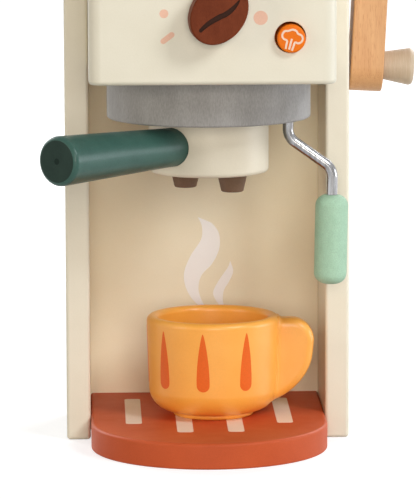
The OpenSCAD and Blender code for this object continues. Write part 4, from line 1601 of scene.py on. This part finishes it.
@dataclass
class Crank:
    """The side crank: a beech arm with a turned knob."""

    frame: Frame
    pivot: tuple[float, float] = (40 * MM, 271.5 * MM)
    droop: float = 3
    length: float = 62 * MM
    arm_r: float = 15 * MM
    arm_t: float = 18.8 * MM
    arm_gap: float = 5.8 * MM
    arm_edge: float = 1.1 * MM
    axle_r: float = 5 * MM
    knob_r_in: float = 7.9 * MM
    knob_r_out: float = 11 * MM
    knob_len: float = 17.4 * MM
    knob_round: float = 2.6 * MM
    knob_recess: tuple[float, float] = (4.3 * MM, 4 * MM)
    knob_gap: float = 0.3 * MM
    knob_edge: float = 0.5 * MM
    recess_edge: float = 0.3 * MM
    spacer_ratio: float = 1.8
    spacer_gap: float = 0.8 * MM
    spacer_edge: float = 0.4 * MM
    screw_r: float = 4 * MM
    screw_h: float = 2.6 * MM
    screw_lift: float = 0.05 * MM
    knob_screw_h: float = 1.3 * MM
    knob_screw_lift: float = 0.6 * MM
    screw_dome: float = 0.7
    cross_arm: float = 0.55
    cross_half: float = 0.13
    cross_floor: float = 0.35
    shank: float = 10 * MM

    def place(self) -> Matrix:
        """The crank's axis, which droops in its loose hole: +Z outwards, +X up along the arm."""
        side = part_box("side_panel_right")[1].x
        return shift(side, *self.pivot) @ turn(self.droop, "Y") @ turn(90, "Y") @ turn(180, "Z")

    def build(self) -> None:
        """Builds the arm, knob, spacer and screws and dresses the axle."""
        place = self.place()
        arm_out = self.arm_gap + self.arm_t
        outline = arc(Vector((0, 0)), self.arm_r, -math.pi / 2, math.pi, 40)
        outline += arc(Vector((-self.length, 0)), self.arm_r, math.pi / 2, math.pi, 40)
        arm = slab("arm", outline, self.arm_gap, arm_out, (self.arm_edge, self.arm_edge), place)
        self.frame.add("beech_arm", arm, Body.CRANK, BEECH, ["crank_arm"])
        self.knob(place @ shift(-self.length, 0, arm_out + self.knob_gap))
        self.spacer(place)
        on_arm = place @ shift(0, 0, arm_out + self.screw_lift)
        self.screw("crank_screw_head", "crank_screw", on_arm, self.screw_h)
        knob_head = arm_out + self.knob_screw_lift + self.knob_len - self.knob_recess[1]
        on_knob = place @ shift(-self.length, 0, knob_head)
        self.screw("knob_screw_head", "crank_knob_screw", on_knob, self.knob_screw_h)
        self.frame.dress(DOWEL, "crank_axle", "crank_collar")

    def knob(self, place: Matrix) -> None:
        """The turned knob, wider at its outer end, with the screw's recess.

        Args:
            place: where its inner end is.
        """
        recess_r, recess_d = self.knob_recess
        corners = [
            (0, 0, 0),
            (self.knob_r_in, 0, self.knob_edge),
            (self.knob_r_out, self.knob_len, self.knob_round),
            (recess_r, self.knob_len, self.recess_edge),
            (recess_r, self.knob_len - recess_d, 0),
            (0, self.knob_len - recess_d, 0),
        ]
        knob = turned("turned_knob", corners, place)
        self.frame.add("turned_knob", knob, Body.CRANK_GRIP, KNOB, ["crank_knob"])

    def spacer(self, place: Matrix) -> None:
        """The wooden ring between the case and the arm.

        Args:
            place: the crank's axis.
        """
        radius = self.spacer_ratio * self.axle_r
        corners = [
            (self.axle_r, self.spacer_gap, 0),
            (radius, self.spacer_gap, self.spacer_edge),
            (radius, self.arm_gap, self.spacer_edge),
            (self.axle_r, self.arm_gap, 0),
        ]
        washer = lathe("spacer_ring", rounded(corners), place, closed=True, segments=96)
        self.frame.add("spacer_ring", washer, Body.CRANK, DOWEL, ["crank_spacer"])

    def screw(self, name: str, replaced: str, place: Matrix, height: float) -> None:
        """A pan head with a cross recess.

        Args:
            name: the piece's name.
            replaced: the CAD node that it stands for.
            place: middle of the head's underside.
            height: height of the head.
        """
        corners = [
            (0, -self.shank, 0),
            (self.screw_r / 2, -self.shank, 0),
            (self.screw_r / 2, 0, 0),
            (self.screw_r, 0, 0),
            (self.screw_r, height, self.screw_dome * height),
            (0, height, 0),
        ]
        arm = self.cross_arm * self.screw_r
        half = self.cross_half * self.screw_r
        plus = [
            (arm, -half), (arm, half), (half, half), (half, arm), (-half, arm), (-half, half),
            (-arm, half), (-arm, -half), (-half, -half), (-half, -arm), (half, -arm), (half, -half),
        ]
        floor = self.cross_floor * height
        recess = slab("recess", [Vector(p) for p in plus], floor, 2 * height, (0, 0), place)
        head = turned(name, corners, place, segments=64)
        self.frame.add(name, head, Body.CRANK, STEEL, [replaced], [to_mesh(recess, "recess")])


# ---- cup


def round_axis_tree() -> bpy.types.NodeTree:
    """Geometry tree: copies of a print round the Z axis, an equal step apart."""
    tree, given, result = shape_tree("round_the_axis", {"Count": "Int", "Start": "Float", "Step": "Float"})
    value = given.outputs
    spots = node(tree, "GeometryNodePoints", {"Count": value["Count"]}).outputs[0]
    index = node(tree, "GeometryNodeInputIndex").outputs["Index"]
    angle = math_node(tree, "MULTIPLY_ADD", index, value["Step"], value["Start"])
    heading = node(tree, "ShaderNodeCombineXYZ", {"Z": angle}).outputs["Vector"]
    copies = {"Points": spots, "Instance": value["Geometry"], "Rotation": heading}
    placed = node(tree, "GeometryNodeInstanceOnPoints", copies)
    return end_tree(tree, given, result, placed.outputs["Instances"])


@dataclass
class Cup:
    """The loose turned cup with its ear and printed drops."""

    frame: Frame
    stand: tuple[float, float] = (3 * MM, 1 * MM)
    rim_r: float = 37.5 * MM
    height: float = 57 * MM
    wall: float = 6.5 * MM
    belly_r: float = 13.3 * MM
    foot_h: float = 2.8 * MM
    foot_round: float = 1.8 * MM
    foot_seam: float = 0.5 * MM
    inner_floor: float = 9 * MM
    inner_taper: float = 1.6 * MM
    taper: float = 1.2 * MM
    ear_out: float = 19.6 * MM
    ear_corner_r: float = 13 * MM
    # the ear's lower curve is drawn in millimetres
    ear_low_z: float = 6.2
    ear_curve: tuple[tuple[float, float], ...] = (
        (32.0, 7.3), (37.1, 9.3), (41.3, 11.7), (45.6, 15.0), (50.0, 19.6), (53.5, 25.2), (55.8, 31.5),
    )
    ear_drop: float = 1.9 * MM
    ear_t: float = 14 * MM
    ear_edge: float = 4.6 * MM
    ear_depth: float = 0.3 * MM
    ear_fillet: float = 2.0 * MM
    ear_low_fillet: float = 0.3
    rim_clear: float = 0.8 * MM
    score_in: float = 3 * MM
    score_step: float = 0.45 * MM
    score_rise: float = 3.5 * MM
    drop_count: int = 7
    drop_start: float = 64.1
    drop_step: float = 39.05
    drop_low: float = 18.5 * MM
    drop_high: float = 51.5 * MM
    drop_half: float = 3.7 * MM
    drop_tip: float = 0.02 * MM
    drop_full: float = 0.8
    drop_power: float = 0.62
    drop_belly: float = 0.12

    def place(self) -> Matrix:
        """Where the cup stands on the plate."""
        return shift(*self.stand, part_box("base_plate")[1].z)

    def outer(self) -> list[Vector]:
        """The outer profile, from the axis under the foot to the middle of the rim."""
        foot_r = self.rim_r - self.taper - self.belly_r
        corners = [
            (0, 0, 0),
            (foot_r, 0, self.foot_round),
            (foot_r, self.foot_h, self.foot_seam),
            (self.wall_line(self.foot_h), self.foot_h, self.belly_r),
            (self.wall_line(self.height), self.height, self.wall / 2),
            (self.rim_r - self.wall / 2, self.height, 0),
        ]
        return rounded(corners, closed=False, steps=16)

    def wall_line(self, z: float) -> float:
        """Radius of the tapered wall's straight line at a height."""
        low_z = self.foot_h + self.belly_r
        slope = self.taper / (self.height - low_z - self.wall / 2)
        return self.rim_r - self.taper + slope * (z - low_z)

    def build(self) -> None:
        """Builds the cup, its ear and its drops."""
        in_r = self.rim_r - self.wall
        corners = [
            (self.rim_r - self.wall / 2, self.height, 0),
            (in_r, self.height, self.wall / 2),
            (in_r - self.inner_taper, self.inner_floor, self.belly_r * 0.8),
            (0, self.inner_floor, 0),
        ]
        inner = rounded(corners, closed=False, steps=16)
        bowl = lathe("cup_bowl", [*self.outer(), *inner[1:]], self.place(), segments=160)
        self.frame.add("cup_bowl", bowl, Body.CUP, ORANGE, ["cup_body"])
        self.ear()
        self.drops()

    def surface(self, z: float) -> tuple[float, float]:
        """Radius of the outer surface at a height, and its slope there."""
        profile = self.outer()
        for low, high in zip(profile, profile[1:]):
            if low.y <= z <= high.y and high.y > low.y:
                slope = (high.x - low.x) / (high.y - low.y)
                return low.x + slope * (z - low.y), slope
        return self.rim_r, 0.0

    def ear_outline(self) -> list[Vector]:
        """Side view of the ear: a small corner above, one broad curve below."""
        out_x = self.rim_r + self.ear_out
        top = self.height - self.ear_drop
        in_x = self.rim_r - 2 * self.wall
        middle = Vector((out_x - self.ear_corner_r, top - self.ear_corner_r))
        corner = arc(middle, self.ear_corner_r, 0, math.pi / 2, steps=20)
        curve = [(in_x / MM, self.ear_low_z), *self.ear_curve, (out_x / MM, corner[0].y / MM)]
        broad = smooth_loop(curve, steps=4)
        return [*(p * MM for p in broad[:-1]), *corner, Vector((in_x, top))]

    def ear(self) -> None:
        """The ear: a rounded slab that flares softly into the cup's wall and ends just inside it."""
        half = self.ear_t / 2
        flat = slab("ear", self.ear_outline(), -half, half, (self.ear_edge, self.ear_edge), steps=8)
        flat.transform(turn(90, "X"))
        start = self.rim_r - self.score_in
        for i in range(20):
            self.score(flat, (start + i * self.score_step, 0, 0), (1, 0, 0))
        for i in range(1, 16):
            self.score(flat, (0, 0, i * self.score_rise), (0, 0, 1))
        profile = self.outer()
        flat.normal_update()
        moves = {vert: self.flare(vert, profile) for vert in flat.verts}
        for vert, move in moves.items():
            vert.co += move
        flat.transform(self.place())
        seat = [Vector((max(0.0, p.x - self.ear_depth), p.y)) for p in profile]
        core = lathe("cup_core", [*seat, Vector((0, self.height))], self.place(), segments=160)
        self.frame.add("cup_ear", flat, Body.CUP, ORANGE, ["cup_handle"], [core])

    @staticmethod
    def score(shape: bmesh.types.BMesh, point: Sequence[float], across: Sequence[float]) -> None:
        """Adds edges to a shape along a plane."""
        everything = shape.verts[:] + shape.edges[:] + shape.faces[:]
        bmesh.ops.bisect_plane(shape, geom=everything, dist=1e-6, plane_co=point, plane_no=across)

    def flare(self, vert: bmesh.types.BMVert, profile: Sequence[Vector]) -> Vector:
        """How far a point of the ear moves so that the ear meets the wall in a soft fillet.

        Args:
            vert: the point, in the cup's own place.
            profile: the cup's outer profile.

        Returns:
            The move.
        """
        flat = Vector((math.hypot(vert.co.x, vert.co.y), vert.co.z))
        away = min(distance_to_stretch(flat, a, b) for a, b in zip(profile, profile[1:]))
        inside = flat.x < self.surface(flat.y)[0]
        gap = 0.0 if inside else away
        reach = self.ear_fillet
        if gap >= reach:
            return Vector()
        swell = reach - math.sqrt(reach**2 - (reach - gap) ** 2)
        move = vert.normal * swell
        ceiling = self.height - self.rim_clear - vert.co.z
        move.z = min(move.z, max(0.0, ceiling)) if move.z > 0 else move.z * self.ear_low_fillet
        move.x = 0.0
        return move

    def drops(self) -> None:
        """The printed drops: round below, drawn out to a point above."""
        rows, columns = 36, 8
        length = self.drop_high - self.drop_low
        layers = []
        for proud in (-PRINT_THICKNESS, PRINT_THICKNESS):
            grid = []
            for i in range(rows + 1):
                v = length * (1 - math.cos(math.pi * i / rows)) / 2
                z = self.drop_low + v
                radius = self.surface(z)[0] + proud
                half = self.drop_width(v, length)
                across = [half * (2 * j / columns - 1) / radius for j in range(columns + 1)]
                grid.append([Vector((radius * math.cos(a), radius * math.sin(a), z)) for a in across])
            layers.append(grid)
        under, over = layers
        rings = [[*over[i], *reversed(under[i])] for i in range(rows + 1)]
        values = {
            "Count": self.drop_count,
            "Start": math.radians(self.drop_start),
            "Step": math.radians(self.drop_step),
            "Material": DROP.material(),
        }
        single = new_object("cup_drops", to_mesh(loft(rings), "cup_drops"))
        drop = run_tree(single, "round_the_axis", round_axis_tree, values)
        drop.data.transform(self.place())
        even_normals(drop)
        self.frame.fix(drop, Body.CUP, DROP)

    def drop_width(self, v: float, length: float) -> float:
        """Half width of a drop at a height above its lower end."""
        wide = self.drop_half
        if v < wide:
            return max(self.drop_tip, math.sqrt(max(0.0, wide**2 - (wide - v) ** 2)))
        from_tip = (1 - v / length) / self.drop_full
        belly = 1 + self.drop_belly * math.sin(math.pi * min(1.0, from_tip))
        swell = from_tip**self.drop_power * belly
        return max(self.drop_tip, wide * min(1.0, swell))


def distance_to_stretch(point: Vector, start: Vector, end: Vector) -> float:
    """Distance of a point from a straight stretch, in the plane."""
    along = end - start
    share = max(0.0, min(1.0, (point - start).dot(along) / max(along.length_squared, 1e-18)))
    return (start + along * share - point).length


# ---- floor, light and camera


@dataclass(frozen=True)
class Lamp:
    """A soft lamp: its direction in degrees from the front and the floor, its reach, size and power."""

    name: str
    azimuth: float
    elevation: float
    distance: float
    size: float
    power: float
    color: Rgb = (255, 255, 255)


@dataclass
class Studio:
    """The white floor, the soft lights and the camera."""

    focal_px: float = 4125.17
    picture_w: int = 416
    sensor: float = 36.0
    pitch: float = 8.27
    yaw: float = 1.70
    roll: float = -0.20
    eye: tuple[float, float, float] = (-0.06799, -2.30121, 0.44321)
    aim_z: float = 0.15
    ambient: float = 0.08
    floor_half: float = 4.0
    floor_tone: float = 0.5
    floor_glow: float = 0.69
    glow_near: float = 0.35
    glow_far: float = 1.1
    lamps: tuple[Lamp, ...] = (
        Lamp("key", 43, 36, 1.5, 0.42, 10.4, (246, 250, 255)),
        Lamp("front", 2, 10, 3.0, 1.1, 34.0, (255, 248, 238)),
        Lamp("right", 90, 4, 2.2, 0.8, 18.0, (244, 248, 255)),
        Lamp("left", -60, 12, 2.2, 0.8, 10.5, (255, 246, 232)),
        Lamp("back_right", 150, 30, 2.2, 0.8, 22.0),
        Lamp("back_left", -140, 25, 2.2, 0.8, 18.0),
    )

    def build(self) -> None:
        """Builds the floor, the world, the lights and the camera."""
        bpy.context.scene.view_settings.view_transform = "Standard"
        self.floor()
        self.world()
        for lamp in self.lamps:
            self.lamp(lamp)
        self.camera()

    def seen(self, tree: bpy.types.NodeTree) -> Any:
        """1 for rays that show the background: from the camera, a gloss or through glass."""
        path = node(tree, "ShaderNodeLightPath")
        direct = math_node(tree, "MAXIMUM", path.outputs["Is Camera Ray"], path.outputs["Is Glossy Ray"])
        return math_node(tree, "MAXIMUM", direct, path.outputs["Is Transmission Ray"])

    def floor(self) -> None:
        """A wide white floor that keeps the toy's shadow."""
        shape = bmesh.new()
        half = self.floor_half
        corners = [(-half, -half), (half, -half), (half, half), (-half, half)]
        shape.faces.new([shape.verts.new((x, y, 0)) for x, y in corners])
        ground = new_object("floor", to_mesh(shape, "floor"))
        paper = bpy.data.materials.new("white_paper")
        paper.use_nodes = True
        tree = paper.node_tree
        tree.nodes.clear()
        tone = self.floor_tone
        matte = node(tree, "ShaderNodeBsdfDiffuse", {"Color": (tone, tone, tone, 1)})
        place = node(tree, "ShaderNodeTexCoord").outputs["Object"]
        away = node(tree, "ShaderNodeVectorMath", {0: place}, operation="LENGTH").outputs["Value"]
        level = spread(tree, away, self.glow_near, self.glow_far, to_low=self.floor_glow)
        shown = math_node(tree, "MULTIPLY", self.seen(tree), level)
        glow = node(tree, "ShaderNodeEmission", {"Strength": shown})
        both = node(tree, "ShaderNodeAddShader", {0: matte.outputs[0], 1: glow.outputs[0]})
        node(tree, "ShaderNodeOutputMaterial", {"Surface": both.outputs[0]})
        ground.data.materials.append(paper)

    def world(self) -> None:
        """An even pale surround, pure white where it is seen."""
        world = bpy.data.worlds.new("surround")
        world.use_nodes = True
        bpy.context.scene.world = world
        tree = world.node_tree
        tree.nodes.clear()
        strength = spread(tree, self.seen(tree), low=0.0, high=1.0, to_low=self.ambient)
        light = node(tree, "ShaderNodeBackground", {"Color": (1, 1, 1, 1), "Strength": strength})
        node(tree, "ShaderNodeOutputWorld", {"Surface": light.outputs[0]})

    def lamp(self, lamp: Lamp) -> None:
        """A soft square lamp that points at the middle of the toy.

        Args:
            lamp: what it is and where it hangs.
        """
        light = bpy.data.lights.new(lamp.name, "AREA")
        light.size = lamp.size
        light.energy = lamp.power
        light.color = linear(lamp.color)[:3]
        holder = new_object(lamp.name, light)
        middle = Vector((0, 0, self.aim_z))
        around, up = math.radians(lamp.azimuth), math.radians(lamp.elevation)
        away = Vector((math.sin(around) * math.cos(up), -math.cos(around) * math.cos(up), math.sin(up)))
        holder.location = middle + away * lamp.distance
        holder.rotation_euler = (-away).to_track_quat("-Z", "Y").to_euler()

    def camera(self) -> None:
        """The camera, solved from the case's edges."""
        pitch, yaw, roll = (math.radians(a) for a in (self.pitch, self.yaw, self.roll))
        ahead = Vector((math.sin(yaw) * math.cos(pitch), math.cos(yaw) * math.cos(pitch), -math.sin(pitch)))
        level = Vector((math.cos(yaw), -math.sin(yaw), 0))
        upright = level.cross(ahead)
        right = level * math.cos(roll) + upright * math.sin(roll)
        up = upright * math.cos(roll) - level * math.sin(roll)
        data = bpy.data.cameras.new("camera")
        data.sensor_fit = "HORIZONTAL"
        data.sensor_width = self.sensor
        data.lens = self.focal_px * self.sensor / self.picture_w
        holder = new_object("camera", data)
        holder.matrix_world = shift(*self.eye) @ Matrix((right, up, -ahead)).transposed().to_4x4()
        bpy.context.scene.camera = holder


def main() -> None:
    """Builds the toy round its frame, then the studio."""
    logging.basicConfig(level=logging.INFO, format="%(name)s: %(message)s")
    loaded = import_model()
    frame = Frame(loaded["nodes"])
    for part in (
        Case(frame),
        BasePlate(frame),
        BrewHead(frame),
        Portafilter(frame),
        SteamWand(frame),
        BeanKnob(frame),
        SteamButton(frame),
        Crank(frame),
        Cup(frame),
    ):
        part.build()
    Studio().build()


if __name__ == "__main__":
    main()
